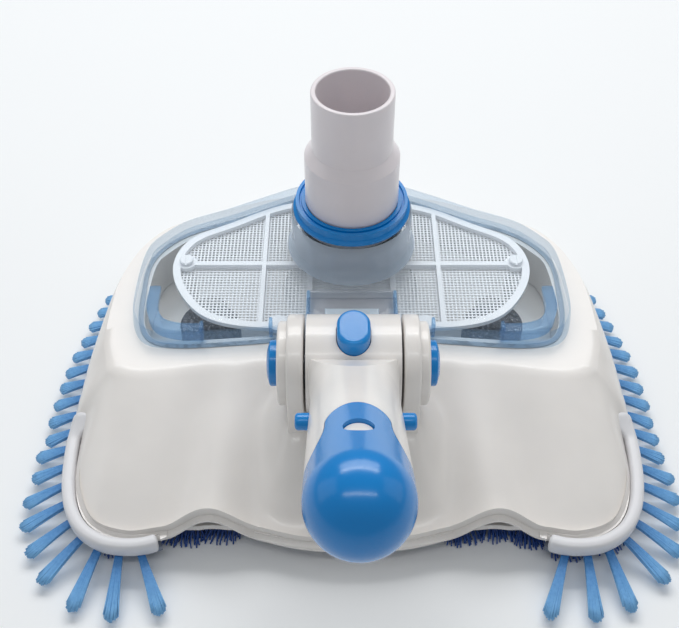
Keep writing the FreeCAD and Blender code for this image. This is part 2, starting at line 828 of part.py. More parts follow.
def make_swivel_seal():
    """A round-section seal in the flange's groove."""
    seal = DOC.addObject("Part::Torus", "swivel_seal")
    seal.setExpression("Radius1", "Sizes.seal_r")
    seal.setExpression("Radius2", "Sizes.seal_wire_r")
    seal.setExpression("Placement.Base.y", "Sizes.hub_y + Sizes.hub_to_hose")
    seal.setExpression("Placement.Base.z", "Sizes.flange_z + 2.4 + 1.2 * Sizes.seal_wire_r")
    return keep(seal, "swivel_seal")


make_hose_spigot()
make_retaining_ring()
make_swivel_seal()


# Pole hub: axle, bushes, ear caps and axle caps, all turned about the hub axis


def across_hub(sign, distance):
    """A placement on the hub axis that points away from the centre line."""
    turn = FreeCAD.Rotation(Y_AXIS, 90 * sign)
    return FreeCAD.Placement(HUB + V(sign * distance, 0, 0), turn)


EAR_FACE = "hub_width / 2 + hub_gap + ear_thick"
ear_face = size("hub_width") / 2 + size("hub_gap") + size("ear_thick")

axle = turned("pivot_axle", [
    ("0", "0"),
    ("axle_r", "0"),
    ("axle_r", "2 * (" + EAR_FACE + " + ear_cap_thick)"),
    ("0", "2 * (" + EAR_FACE + " + ear_cap_thick)"),
])
keep(axle, "pivot_axle", across_hub(1, -ear_face - size("ear_cap_thick")))

for side, sign in SIDES:
    cap = turned(f"ear_cap_{side}", [
        ("axle_r", "0"),
        ("ear_cap_r", "0"),
        ("ear_cap_r", "ear_cap_thick"),
        ("axle_r", "ear_cap_thick"),
    ])
    rounded(cap, 1.2, ring_edge(size("ear_cap_r"), size("ear_cap_thick")))
    keep(cap, f"ear_cap_{side}", across_hub(sign, ear_face))

    button = turned(f"axle_cap_{side}", [
        ("0", "0"),
        ("axle_cap_r", "0"),
        ("axle_cap_r", "axle_cap_thick - 1"),
        ("axle_cap_r * 0.6", "axle_cap_thick"),
        ("0", "axle_cap_thick"),
    ])
    rounded(button, 0.9, ring_edge(size("axle_cap_r"), size("axle_cap_thick") - 1))
    keep(button, f"axle_cap_{side}", across_hub(sign, ear_face + size("ear_cap_thick")))

    bush = turned(f"hub_bush_{side}", [
        ("axle_r + axle_play", "0"),
        ("bush_r", "0"),
        ("bush_r", "bush_length"),
        ("bush_flange_r", "bush_length"),
        ("bush_flange_r", "bush_length + bush_flange"),
        ("axle_r + axle_play", "bush_length + bush_flange"),
    ])
    keep(bush, f"hub_bush_{side}", across_hub(sign, size("hub_width") / 2 - size("bush_length")))


# Handle. It is drawn with the hub axis at the origin and the shaft level, towards -Y, and then
# raised to its rest angle.


def raised(shape):
    shape.Placement = FreeCAD.Placement(HUB, HANDLE_TURN)
    return shape


def along_shaft(radius, start, end):
    return rod(radius, V(0, -start, 0), V(0, -end, 0))


def tongue_prism(gap):
    """The end cap's tongue in plan: a round-ended strip that widens into the cap."""
    half = size("tongue_half_width") + gap
    nose = size("tongue_reach") - gap
    straight = size("tongue_reach") + size("tongue_half_width")
    edge = size("shaft_r") + 1
    end = size("shaft_end") + 6
    widen = Part.BSplineCurve()
    widen.interpolate([V(half, -straight, 0), V(half + 0.8, -straight - 8, 0), V(edge, -end + 2, 0)])
    other = Part.BSplineCurve()
    other.interpolate([V(-half, -straight, 0), V(-half - 0.8, -straight - 8, 0), V(-edge, -end + 2, 0)])
    nose_arc = Part.Arc(V(half, -straight, 0), V(0, -nose, 0), V(-half, -straight, 0))
    close = Part.makePolygon([V(edge, -end + 2, 0), V(edge, -end, 0), V(-edge, -end, 0),
                              V(-edge, -end + 2, 0)])
    wire = Part.Wire(Part.__sortEdges__(
        [nose_arc.toShape(), widen.toShape(), other.toShape()] + close.Edges))
    return Part.Face(wire).extrude(V(0, 0, 2 * size("shaft_r")))


def button_turn():
    """From the level handle's frame to the lock button's own line."""
    return FreeCAD.Rotation(X_AXIS, 90 - size("button_rise") + size("handle_rise"))


def stadium(width, length, low, high):
    """A round-ended bar, its long way along Y, standing along Z."""
    radius = width / 2
    reach = (length - width) / 2
    middle = box_at(V(-radius, -reach, low), V(radius, reach, high))
    for end in (-reach, reach):
        middle = middle.fuse(rod(radius, V(0, end, low), V(0, end, high)))
    return middle.removeSplitter()


def button_line(shape):
    shape.Placement = FreeCAD.Placement(V(0, 0, 0), button_turn())
    return shape


def neck_slope():
    """The wedge off the top of the neck, which leaves the lock button clear."""
    side = 2 * size("shaft_r")
    low = size("slope_low")
    start = -size("slope_start")
    end = -size("slope_end")
    corners = [(0, low), (start, low), (end, size("shaft_r")), (end, side), (0, side), (0, low)]
    outline = Part.makePolygon([V(-side, y, z) for y, z in corners])
    return Part.Face(outline).extrude(V(2 * side, 0, 0))


def make_handle_arm():
    half = size("hub_width") / 2
    hub = rod(size("hub_r"), V(-half, 0, 0), V(half, 0, 0))
    start = size("neck_start")
    neck = Part.makeCone(size("neck_r"), size("shaft_r"), size("neck_end") - start,
                         V(0, -start, 0), -Y_AXIS)
    shaft = along_shaft(size("shaft_r"), size("neck_end") - 4, size("shaft_end"))
    arm = hub.fuse(neck.fuse(shaft).cut(neck_slope()))
    arm = arm.cut(along_shaft(size("shaft_bore_r"), size("bore_start"), size("shaft_end") + 1))
    arm = arm.cut(rod(size("axle_r") + 1, V(-half - 1, 0, 0), V(half + 1, 0, 0)))
    for sign in (-1, 1):
        face = V(sign * (half + 1), 0, 0)
        seat = V(sign * (half - size("bush_length")), 0, 0)
        arm = arm.cut(rod(size("bush_r"), seat, face))
    gap = size("button_gap")
    floor = size("hub_r") - size("button_depth") - size("button_travel") - gap
    pocket = stadium(size("button_width") + 2 * gap, size("button_length") + 2 * gap,
                     floor, size("hub_r") + size("button_proud"))
    arm = arm.cut(button_line(pocket))
    hole = size("pin_r") + size("pin_play")
    reach = V(size("shaft_r") + 1, 0, 0)
    spot = V(0, -size("pin_reach"), 0)
    arm = arm.cut(rod(hole, spot - reach, spot + reach))
    sunk = size("tongue_thick") + size("fit_gap") / 2
    skin = along_shaft(size("shaft_r") + 1, size("tongue_reach") - 5, size("shaft_end") + 1)
    skin = skin.cut(along_shaft(size("shaft_r") - sunk, size("tongue_reach") - 6, size("shaft_end") + 2))
    arm = arm.cut(skin.common(tongue_prism(size("fit_gap") / 2)))
    play = 2 * size("fit_gap")
    catch = stadium(size("tongue_slot_width") - play, size("tongue_slot_length") - play,
                    size("shaft_bore_r") + 0.2, size("shaft_r"))
    catch.Placement = FreeCAD.Placement(V(0, -size("tongue_slot_reach"), 0), FreeCAD.Rotation())
    top = along_shaft(size("shaft_r") - size("catch_below"), size("tongue_reach"), size("shaft_end"))
    return raised(arm.fuse(catch.common(top)))


def make_end_cap():
    """The soft ball-ended cap: a plug in the shaft, a ball, and a tongue let into the shaft's top."""
    gap = size("fit_gap") / 2
    end = size("shaft_end") + gap
    ball_at = size("ball_reach")
    radius = size("shaft_r")
    cap = along_shaft(radius, end, ball_at).fuse(Part.makeSphere(radius, V(0, -ball_at, 0)))
    cap = cap.fuse(along_shaft(size("shaft_bore_r") - gap, end - size("cap_plug"), end + 1))
    hollow = size("shaft_bore_r") - gap - size("cap_wall")
    cap = cap.cut(along_shaft(hollow, end - size("cap_plug") - 1, ball_at - 2))
    skin = along_shaft(radius, size("tongue_reach"), end + 1)
    skin = skin.cut(along_shaft(radius - size("tongue_thick"), size("tongue_reach") - 1, end + 2))
    tongue = skin.common(tongue_prism(0))
    slot = stadium(size("tongue_slot_width"), size("tongue_slot_length"), 0, radius + 1)
    slot.Placement = FreeCAD.Placement(V(0, -size("tongue_slot_reach"), 0), FreeCAD.Rotation())
    return raised(cap.fuse(tongue.cut(slot)))


def make_snap_pin(sign):
    """A round-nosed pin with a head that stops it in the shaft wall."""
    head_face = size("shaft_bore_r") - size("fit_gap") - 1
    inner = head_face - size("pin_head_thick")
    outer = size("shaft_r") + size("pin_out")
    spot = V(0, -size("pin_reach"), 0)
    pin = rod(size("pin_r"), spot + V(sign * inner, 0, 0), spot + V(sign * outer, 0, 0))
    nose = [e for e in pin.Edges if abs(e.CenterOfMass.x - sign * outer) < 0.01]
    pin = pin.makeFillet(size("pin_r") * 0.45, nose)
    head = rod(size("pin_head_r"), spot + V(sign * inner, 0, 0), spot + V(sign * head_face, 0, 0))
    return raised(pin.fuse(head))


def coil(radius, wire, length, turns):
    """A closed round-wire coil spring standing on the origin along Z."""
    helix = Part.makeHelix(length / turns, length, radius)
    ring = Part.Wire([Part.makeCircle(wire, V(radius, 0, 0), Y_AXIS)])
    return Part.Wire(helix.Edges).makePipeShell([ring], True, True)


def make_snap_spring():
    """The spring that pushes the two snap pins apart."""
    inner = size("shaft_bore_r") - size("fit_gap") - 1 - size("pin_head_thick")
    length = 2 * (inner - size("spring_wire_r") - 0.05)
    spring = coil(size("pin_r"), size("spring_wire_r"), length, 7)
    turn = FreeCAD.Rotation(Y_AXIS, 90)
    spot = V(-length / 2, -size("pin_reach"), 0)
    spring.Placement = FreeCAD.Placement(HUB, HANDLE_TURN) * FreeCAD.Placement(spot, turn)
    return spring


def make_lock_button():
    low = size("hub_r") - size("button_depth")
    high = size("hub_r") + size("button_proud")
    button = stadium(size("button_width"), size("button_length"), low, high)
    button = button.makeFillet(1.6, [e for e in button.Edges if e.BoundBox.ZMin > high - 0.01])
    button.Placement = FreeCAD.Placement(HUB, BUTTON_TURN)
    return button


def make_button_spring():
    floor = size("hub_r") - size("button_depth") - size("button_travel") - size("button_gap")
    wire = size("spring_wire_r")
    length = size("button_travel") + size("button_gap") - 2 * wire - 0.1
    spring = coil(size("button_width") * 0.3, wire, length, 2)
    along = BUTTON_TURN.multVec(V(0, 0, floor + wire + 0.05))
    spring.Placement = FreeCAD.Placement(HUB + along, BUTTON_TURN)
    return spring


free_form("handle_arm", make_handle_arm())
free_form("handle_end_cap", make_end_cap())
free_form("snap_spring", make_snap_spring())
free_form("lock_button", make_lock_button())
free_form("button_spring", make_button_spring())
for side, sign in SIDES:
    free_form(f"snap_pin_{side}", make_snap_pin(sign))


# Check every object, then write each sub-part

DOC.recompute()
for obj in DOC.Objects:
    if {"Invalid", "Error"} & set(obj.State):
        raise RuntimeError(f"{obj.Name} failed: {obj.State}")
for part in PARTS:
    if part.Shape.isNull() or not part.Shape.isValid():
        raise RuntimeError(f"{part.Label} has no valid shape")

os.makedirs("parts", exist_ok=True)
for part in PARTS:
    part.Shape.exportStep(f"parts/{part.Label}.step")
    box = part.Shape.BoundBox
    print(f"{part.Label}: {len(part.Shape.Solids)} solids, {box.XLength:.1f} x {box.YLength:.1f} "
          f"x {box.ZLength:.1f} mm, from y {box.YMin:.1f}, z {box.ZMin:.1f}")
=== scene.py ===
import math
import random

import bmesh
import bpy
import numpy as np
from mathutils import Matrix, Vector


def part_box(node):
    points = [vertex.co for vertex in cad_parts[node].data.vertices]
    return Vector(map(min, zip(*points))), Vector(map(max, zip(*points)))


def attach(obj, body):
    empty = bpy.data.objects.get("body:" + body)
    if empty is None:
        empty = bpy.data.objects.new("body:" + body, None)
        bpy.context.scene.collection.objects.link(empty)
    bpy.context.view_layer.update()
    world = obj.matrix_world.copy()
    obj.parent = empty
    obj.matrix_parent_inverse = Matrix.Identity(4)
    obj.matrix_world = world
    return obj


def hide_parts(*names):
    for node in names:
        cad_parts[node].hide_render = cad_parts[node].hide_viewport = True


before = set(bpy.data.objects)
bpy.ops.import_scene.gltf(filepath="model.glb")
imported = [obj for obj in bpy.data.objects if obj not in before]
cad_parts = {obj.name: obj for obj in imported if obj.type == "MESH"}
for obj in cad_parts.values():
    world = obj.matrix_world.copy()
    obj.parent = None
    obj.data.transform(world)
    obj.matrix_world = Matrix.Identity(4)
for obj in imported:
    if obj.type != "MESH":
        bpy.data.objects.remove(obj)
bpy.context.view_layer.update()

MM = 0.001
SIDES = (("left", -1), ("right", 1))

# Places and sizes: most come from the frame, and the rest are the shell's and the hinge's own

SHELL_LOW, SHELL_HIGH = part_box("upper_shell")
PLATE_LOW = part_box("bottom_plate")[0]
AXLE_LOW, AXLE_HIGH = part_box("pivot_axle")
SPIGOT_LOW, SPIGOT_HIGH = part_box("hose_spigot")
COVER_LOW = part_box("clear_cover")[0]
FRAME_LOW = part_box("filter_frame")[0]
HUB = (AXLE_LOW + AXLE_HIGH) / 2
HOSE = (SPIGOT_LOW + SPIGOT_HIGH) / 2
HALF_WIDTH = SHELL_HIGH.x
DECK_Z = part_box("cover_gasket")[0].z
EDGE_Z = SHELL_LOW.z
FRONT_LENGTH = 133 * MM
BACK_LENGTH = 46 * MM
HINGE_BACK = 44.9 * MM
HINGE_HEIGHT = 32.7 * MM
HINGE = Vector((0, HOSE.y + HINGE_BACK, HINGE_HEIGHT))
LUG_SPAN = (10 * MM, 14 * MM)
HINGE_EAR_SPAN = (14.3 * MM, 18.3 * MM)


# Shader maths


class Socket:
    """One shader value; arithmetic on it adds Math nodes."""

    def __init__(self, maker, socket):
        self.maker = maker
        self.socket = socket

    def _with(self, operation, other, swap=False):
        pair = (other, self) if swap else (self, other)
        return self.maker.math(operation, *pair)

    def __add__(self, other):
        return self._with("ADD", other)

    __radd__ = __add__

    def __mul__(self, other):
        return self._with("MULTIPLY", other)

    __rmul__ = __mul__

    def __sub__(self, other):
        return self._with("SUBTRACT", other)

    def __rsub__(self, other):
        return self._with("SUBTRACT", other, swap=True)

    def __pow__(self, other):
        return self._with("POWER", other)


class Maker:
    """Builds one material's nodes."""

    def __init__(self, name):
        self.material = bpy.data.materials.new(name)
        self.material.use_nodes = True
        self.tree = self.material.node_tree
        self.tree.nodes.clear()
        self.output = self.tree.nodes.new("ShaderNodeOutputMaterial")
        self.point = self.node("ShaderNodeTexCoord", out="Object")

    def node(self, kind, settings=None, inputs=None, out=0):
        """Add a node: its settings first, then its socket values or links; gives one output."""
        node = self.tree.nodes.new(kind)
        for key, value in (settings or {}).items():
            if key == "stops":
                set_stops(node.color_ramp, value)
            else:
                setattr(node, key, value)
        for key, value in (inputs or {}).items():
            self.feed(node.inputs[key], value)
        return Socket(self, node.outputs[out])

    def feed(self, target, value):
        """Link a shader value to a socket, or set the socket itself."""
        if isinstance(value, Socket):
            self.tree.links.new(value.socket, target)
        else:
            target.default_value = value

    def math(self, operation, first, second):
        """Add one Math node."""
        return self.node("ShaderNodeMath", {"operation": operation}, {0: first, 1: second})

    def noise(self, scale, detail=2.0, at=None):
        """Noise over the piece, or at mapped points."""
        return self.node("ShaderNodeTexNoise", {},
                         {"Vector": at or self.point, "Scale": scale, "Detail": detail}, out="Fac")

    def ramp(self, factor, stops):
        """Colours along a factor."""
        return self.node("ShaderNodeValToRGB", {"stops": stops}, {"Fac": factor}, out="Color")

    def grey(self, factor, low, high):
        """A factor stretched between two plain numbers."""
        return self.node("ShaderNodeMapRange", {},
                         {"Value": factor, "To Min": low, "To Max": high})

    def bump(self, height, strength, distance):
        """A normal from a height."""
        return self.node("ShaderNodeBump", {},
                         {"Height": height, "Strength": strength, "Distance": distance}, out="Normal")

    def surface(self, **sockets):
        """A Principled surface straight to the output."""
        shader = self.node("ShaderNodeBsdfPrincipled", {},
                           {key.replace("_", " "): value for key, value in sockets.items()}, out="BSDF")
        self.tree.links.new(shader.socket, self.output.inputs["Surface"])


def set_stops(ramp, stops):
    """Set a colour ramp's stops from (position, colour) pairs."""
    while len(ramp.elements) < len(stops):
        ramp.elements.new(0.5)
    for element, (position, colour) in zip(ramp.elements, stops):
        element.position = position
        element.color = (*colour, 1.0)


def srgb(red, green, blue):
    """A colour from 0-255 screen values, as the linear values that a shader takes."""
    def linear(value):
        share = value / 255
        return share / 12.92 if share <= 0.04045 else ((share + 0.055) / 1.055) ** 2.4
    return tuple(linear(value) for value in (red, green, blue))


def shade(colour, factor):
    """A colour made darker or paler, held at full white."""
    return tuple(min(1.0, channel * factor) for channel in colour)


# Materials


def moulded_plastic(name, colour, rough=0.28, coat=0.25, flow=0.03, grain=0.12, scatter=0.0):
    """Moulded plastic: faint flow variation, a slightly uneven gloss and a very fine surface grain."""
    maker = Maker(name)
    flow_lines = maker.noise(38.0, 3.0)
    fine = maker.noise(2600.0, 2.0)
    wave = maker.noise(90.0, 1.0)
    tint = maker.ramp(flow_lines, [(0.3, shade(colour, 1 - flow)), (0.7, shade(colour, 1 + flow))])
    sheen = maker.grey(flow_lines, rough * 0.85, rough * 1.2)
    height = fine * 0.6 + wave * 0.8
    maker.surface(
        Base_Color=tint, Roughness=sheen, IOR=1.5, Coat_Weight=coat, Coat_Roughness=0.12,
        Subsurface_Weight=scatter, Subsurface_Radius=(0.004, 0.0035, 0.003), Subsurface_Scale=0.5,
        Normal=maker.bump(height, grain, 0.00006),
    )
    return maker.material


def clear_plastic(name, tint, edge, veil, rough=0.04):
    """Clear plastic seen as a thin sheet: nearly open face-on, tinted and glossy at a slant."""
    maker = Maker(name)
    maker.material.surface_render_method = "BLENDED"
    slant = maker.node("ShaderNodeLayerWeight", {}, {"Blend": 0.35}, out="Facing")
    streak = maker.noise(60.0, 2.0)
    gloss = maker.node("ShaderNodeBsdfPrincipled", {}, {
        "Base Color": (*edge, 1.0), "Roughness": rough, "IOR": 1.52, "Coat Weight": 0.4,
        "Normal": maker.bump(streak, 0.06, 0.0004),
    }, out="BSDF")
    through = maker.node("ShaderNodeBsdfTransparent", {}, {"Color": (*tint, 1.0)}, out="BSDF")
    cover = slant ** 2.6 * (0.8 - veil) + veil
    mixed = maker.node("ShaderNodeMixShader", {}, {"Fac": cover, 1: through, 2: gloss}, out="Shader")
    maker.tree.links.new(mixed.socket, maker.output.inputs["Surface"])
    return maker.material


def bristle_nylon(name, shaded_root, tip, low, high):
    """Nylon filaments, darker towards the roots where they leave the strip, which is painted shade
    under the shell, and paler towards the tips.
    """
    maker = Maker(name)
    height = maker.node("ShaderNodeSeparateXYZ", {}, {"Vector": maker.point}, out="Z")
    share = maker.node("ShaderNodeMapRange", {},
                       {"Value": height, "From Min": high, "From Max": low})
    strand = maker.noise(900.0, 3.0)
    # Painted shade: the ramp darkens each filament towards its root, under the shell and the floor
    # plate.
    colour = maker.ramp(share * 0.8 + strand * 0.35, [(0.15, shaded_root), (0.75, tip)])
    maker.surface(Base_Color=colour, Roughness=maker.grey(strand, 0.32, 0.55), IOR=1.53,
                  Coat_Weight=0.1, Normal=maker.bump(strand, 0.3, 0.0001))
    return maker.material


def cast_ballast(name):
    """Rough dark cast ballast with pale grit."""
    maker = Maker(name)
    grit = maker.noise(900.0, 4.0)
    lumps = maker.noise(260.0, 3.0)
    colour = maker.ramp(grit, [(0.35, srgb(38, 42, 52)), (0.58, srgb(74, 80, 94)),
                               (0.72, srgb(150, 156, 168))])
    maker.surface(Base_Color=colour, Roughness=0.62, Normal=maker.bump(grit + lumps, 0.8, 0.0006))
    return maker.material


def stainless(name):
    """Fine-drawn stainless steel."""
    maker = Maker(name)
    drawn = maker.node("ShaderNodeMapping", {}, {"Vector": maker.point, "Scale": (0.15, 1.0, 1.0)})
    lines = maker.noise(2200.0, 2.0, at=drawn)
    maker.surface(Base_Color=maker.ramp(lines, [(0.2, (0.50, 0.50, 0.51)), (0.8, (0.66, 0.66, 0.67))]),
                  Metallic=1.0, Roughness=maker.grey(lines, 0.24, 0.42),
                  Normal=maker.bump(lines, 0.15, 0.00005))
    return maker.material


def pale_floor(name):
    """A matt pale floor with a very faint cloud."""
    maker = Maker(name)
    cloud = maker.noise(3.0, 2.0)
    maker.surface(Base_Color=maker.ramp(cloud, [(0.0, (0.88, 0.90, 0.91)), (1.0, (0.93, 0.94, 0.95))]),
                  Roughness=0.6)
    return maker.material


SHELL_WHITE = moulded_plastic("shell_white", srgb(232, 228, 224),
                              rough=0.30, coat=0.35, scatter=0.05)
SPIGOT_WHITE = moulded_plastic("spigot_white", srgb(233, 226, 229),
                               rough=0.33, coat=0.2, scatter=0.06)
BLUE = moulded_plastic("button_blue", srgb(0, 130, 206), rough=0.22, coat=0.12, flow=0.05)
CAP_BLUE = moulded_plastic("cap_blue", srgb(0, 128, 204), rough=0.20, coat=0.15, flow=0.05)
BUMPER_GREY = moulded_plastic("bumper_grey", srgb(222, 222, 225),
                              rough=0.42, coat=0.05, scatter=0.05)
STRIP_GREY = moulded_plastic("strip_grey", srgb(120, 128, 142), rough=0.5, coat=0.0)
FILTER_WHITE = moulded_plastic("filter_white", srgb(248, 248, 250), rough=0.4, coat=0.05)
SEAL_BLACK = moulded_plastic("seal_black", srgb(30, 30, 33), rough=0.55, coat=0.0)
CLEAR = clear_plastic("clear_cover_plastic", (0.975, 0.99, 1.0), srgb(215, 228, 238), 0.03)
CLEAR_TINT = clear_plastic("clear_wall_plastic", (0.70, 0.85, 0.97), srgb(140, 188, 232), 0.20)
CLEAR_EDGE = clear_plastic("clear_edge_plastic", (0.88, 0.94, 0.99), srgb(172, 202, 230), 0.20)
FROSTED = clear_plastic("frosted_collar_plastic", (0.92, 0.95, 0.98), srgb(204, 214, 226), 0.42,
                        rough=0.22)
CLEAR_FLOOR = clear_plastic("clear_floor_plastic", (0.95, 0.97, 0.99), srgb(222, 224, 230), 0.40)
GASKET_PALE = moulded_plastic("gasket_pale", srgb(176, 188, 200), rough=0.5, coat=0.0)
LATCH_PALE = moulded_plastic("latch_pale", srgb(206, 220, 232), rough=0.2, coat=0.3)
SIDE_NYLON = bristle_nylon("side_bristle_nylon", srgb(52, 122, 190), srgb(128, 188, 236),
                           low=3 * MM, high=8 * MM)
# Painted shade: the foot nylon's dark blues stand in for the shade under the floor plate.
SHADED_FOOT_NYLON = bristle_nylon("foot_bristle_nylon_painted_shade", srgb(14, 40, 104), srgb(30, 74, 150),
                           low=0.0, high=9 * MM)
BALLAST = cast_ballast("cast_ballast")
STEEL = stainless("stainless_steel")


# Mesh helpers


def place_piece(name, mesh, material, body):
    """Put a mesh in the scene as a piece of one material, which rides on a body."""
    mesh.materials.append(material)
    piece = bpy.data.objects.new(name, mesh)
    bpy.context.scene.collection.objects.link(piece)
    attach(piece, body)
    return piece


def add_mesh(name, points, faces, material, body, smooth=True):
    """A piece from points and faces, which rides on a body."""
    mesh = bpy.data.meshes.new(name)
    mesh.from_pydata([tuple(p) for p in points], [], faces)
    mesh.validate()
    tidy = bmesh.new()
    tidy.from_mesh(mesh)
    bmesh.ops.remove_doubles(tidy, verts=tidy.verts, dist=0.00001)
    bmesh.ops.recalc_face_normals(tidy, faces=tidy.faces)
    tidy.to_mesh(mesh)
    tidy.free()
    mesh.polygons.foreach_set("use_smooth", [smooth] * len(mesh.polygons))
    return place_piece(name, mesh, material, body)


def sharpen(piece, degrees):
    """Keep edges sharper than an angle crisp under smooth shading."""
    limit = math.radians(degrees)
    mesh = piece.data
    edit = bmesh.new()
    edit.from_mesh(mesh)
    for edge in edit.edges:
        edge.smooth = len(edge.link_faces) != 2 or edge.calc_face_angle(0.0) < limit
    edit.to_mesh(mesh)
    edit.free()


def joined(rings):
    """All the points of a list of rings, in one list."""
    return [point for ring in rings for point in ring]


def grid_faces(rows, columns, start=0):
    """Quads between closed rings of points."""
    faces = []
    for row in range(rows - 1):
        for column in range(columns):
            following = (column + 1) % columns
            a = start + row * columns
            b = a + columns
            faces.append((a + column, a + following, b + following, b + column))
    return faces


def capped_faces(rows, columns, start=0):
    """Quads between closed rings, with one face over the first ring and one over the last."""
    last = start + (rows - 1) * columns
    caps = [tuple(range(start, start + columns)), tuple(range(last, last + columns))]
    return grid_faces(rows, columns, start) + caps


def endless_faces(rows, columns):
    """Quads between closed rings, the last of which runs on into the first."""
    total = rows * columns
    return [tuple(index % total for index in face) for face in grid_faces(rows + 1, columns)]


def box_matrix(low, high):
    """What turns a unit cube into the box between two corners."""
    return Matrix.LocRotScale((low + high) / 2, None, high - low)


def cut_box(piece, low, high):
    """Take a box out of a piece."""
    edit = bmesh.new()
    bmesh.ops.create_cube(edit, size=1.0)
    bmesh.ops.transform(edit, matrix=box_matrix(Vector(low), Vector(high)), verts=edit.verts)
    mesh = bpy.data.meshes.new("cutter")
    edit.to_mesh(mesh)
    edit.free()
    cutter = bpy.data.objects.new("cutter", mesh)
    bpy.context.scene.collection.objects.link(cutter)
    change = piece.modifiers.new("cut", "BOOLEAN")
    change.object = cutter
    change.operation = "DIFFERENCE"
    change.solver = "EXACT"
    bpy.context.view_layer.update()
    ready = piece.evaluated_get(bpy.context.evaluated_depsgraph_get())
    shaped = bpy.data.meshes.new_from_object(ready)
    piece.modifiers.clear()
    piece.data = shaped
    bpy.data.objects.remove(cutter)
    piece.data.polygons.foreach_set("use_smooth", [True] * len(piece.data.polygons))


def rounded_boxes(name, boxes, material, body, radius=0.35):
    """Boxes with small rounded edges, as one piece; each box is (low, high) in millimetres."""
    edit = bmesh.new()
    for low, high in boxes:
        made = bmesh.ops.create_cube(edit, size=1.0)["verts"]
        bmesh.ops.transform(edit, matrix=box_matrix(Vector(low) * MM, Vector(high) * MM), verts=made)
    bmesh.ops.bevel(edit, geom=edit.edges[:], offset=radius * MM, segments=2, profile=0.5,
                    affect="EDGES", clamp_overlap=True)
    mesh = bpy.data.meshes.new(name)
    edit.to_mesh(mesh)
    edit.free()
    mesh.polygons.foreach_set("use_smooth", [True] * len(mesh.polygons))
    return place_piece(name, mesh, material, body)


def smooth_loop(knots, steps, closed=True):
    """Catmull-Rom points through rows of knots; every column is interpolated alike."""
    knots = np.array(knots, float)
    count = len(knots)
    spans = count if closed else count - 1
    out = []
    for i in range(spans):
        if closed:
            p = [knots[(i + k) % count] for k in (-1, 0, 1, 2)]
        else:
            p = [knots[min(max(i + k, 0), count - 1)] for k in (-1, 0, 1, 2)]
        for step in range(steps):
            s = step / steps
            out.append(0.5 * (
                2 * p[1] + (p[2] - p[0]) * s + (2 * p[0] - 5 * p[1] + 4 * p[2] - p[3]) * s * s
                + (3 * p[1] - p[0] - 3 * p[2] + p[3]) * s ** 3))
    if not closed:
        out.append(knots[-1])
    return np.array(out)


def plan(across, along):
    """A plan point from shares of the half width and of the front or rear length."""
    length = FRONT_LENGTH if along < 0 else BACK_LENGTH
    return (across * HALF_WIDTH, HOSE.y + along * length)


def both_halves(rows):
    """A closed outline from half rows whose first value is the distance across."""
    return rows + [(-row[0], *row[1:]) for row in reversed(rows[1:-1])]


def inset(points, distance):
    """A closed clockwise outline moved inwards."""
    ahead = np.roll(points, -1, axis=0) - np.roll(points, 1, axis=0)
    ahead /= np.linalg.norm(ahead, axis=1)[:, None]
    return points + np.stack([ahead[:, 1], -ahead[:, 0]], axis=1) * distance


def sideways(path):
    """Unit directions square to an open path in plan, to its right."""
    ahead = np.gradient(path, axis=0)
    ahead /= np.linalg.norm(ahead, axis=1)[:, None]
    return np.stack([ahead[:, 1], -ahead[:, 0]], axis=1)


def polar_ring(outline, angles):
    """The outline's points in given directions from the hose axis."""
    offset = outline - np.array([0.0, HOSE.y])
    angle = np.arctan2(offset[:, 1], offset[:, 0])
    radius = np.hypot(offset[:, 0], offset[:, 1])
    order = np.argsort(angle)
    angle, radius = angle[order], radius[order]
    angle = np.concatenate([angle - 2 * math.pi, angle, angle + 2 * math.pi])
    radius = np.tile(radius, 3)
    found = np.interp(angles, angle, radius)
    return np.stack([np.cos(angles) * found, HOSE.y + np.sin(angles) * found], axis=1)


# Shell

# Half outline from the rear middle round to the front middle: a point of the lower edge, the matching
# point of the deck's edge (shares as in plan), and how straight the slope between them is.
SHELL_ROWS = [
    (0.000, 0.990, 0.000, 0.955, 0.25), (0.180, 0.960, 0.172, 0.930, 0.25),
    (0.350, 0.878, 0.337, 0.848, 0.25), (0.525, 0.725, 0.508, 0.695, 0.25),
    (0.715, 0.508, 0.700, 0.478, 0.25), (0.798, 0.328, 0.780, 0.312, 0.25),
    (0.868, 0.040, 0.845, 0.040, 0.25), (0.928, -0.140, 0.890, -0.130, 0.25),
    (0.972, -0.340, 0.897, -0.340, 0.35), (0.988, -0.480, 0.875, -0.430, 0.50),
    (0.990, -0.560, 0.865, -0.465, 0.62), (0.957, -0.620, 0.850, -0.480, 0.70),
    (0.945, -0.788, 0.800, -0.486, 0.74), (0.871, -0.922, 0.735, -0.484, 0.74),
    (0.744, -0.968, 0.650, -0.475, 0.80), (0.622, -0.957, 0.550, -0.463, 0.92),
    (0.500, -0.938, 0.440, -0.450, 1.04), (0.360, -0.948, 0.310, -0.440, 1.00),
    (0.180, -0.985, 0.160, -0.450, 0.93), (0.000, -0.996, 0.000, -0.460, 0.90),
]
ARCH_AT = 52 * MM
ARCH_HALF = 17 * MM
ARCH_RISE = 8 * MM
WALL = 2.4 * MM
WINDOW_LAP = 4.5 * MM
SHELL_STEPS = 26
# The swell at a hub ear, in millimetres across from the middle and ahead of the hub.
SWELL_RISE = 12.5 * MM
SWELL_OUTER_START = 22
SWELL_OUTER_SPREAD = 9.5
SWELL_CREST = 16
SWELL_RUN_OUT = 34


def shell_columns(steps=12):
    """Dense columns round the shell: lower point, deck point and slope straightness."""
    rows = [(*plan(a, b), *plan(c, d), k) for a, b, c, d, k in SHELL_ROWS]
    mirrored = rows + [(-x, y, -top_x, top_y, k) for x, y, top_x, top_y, k in reversed(rows[1:-1])]
    return smooth_loop(mirrored, steps)


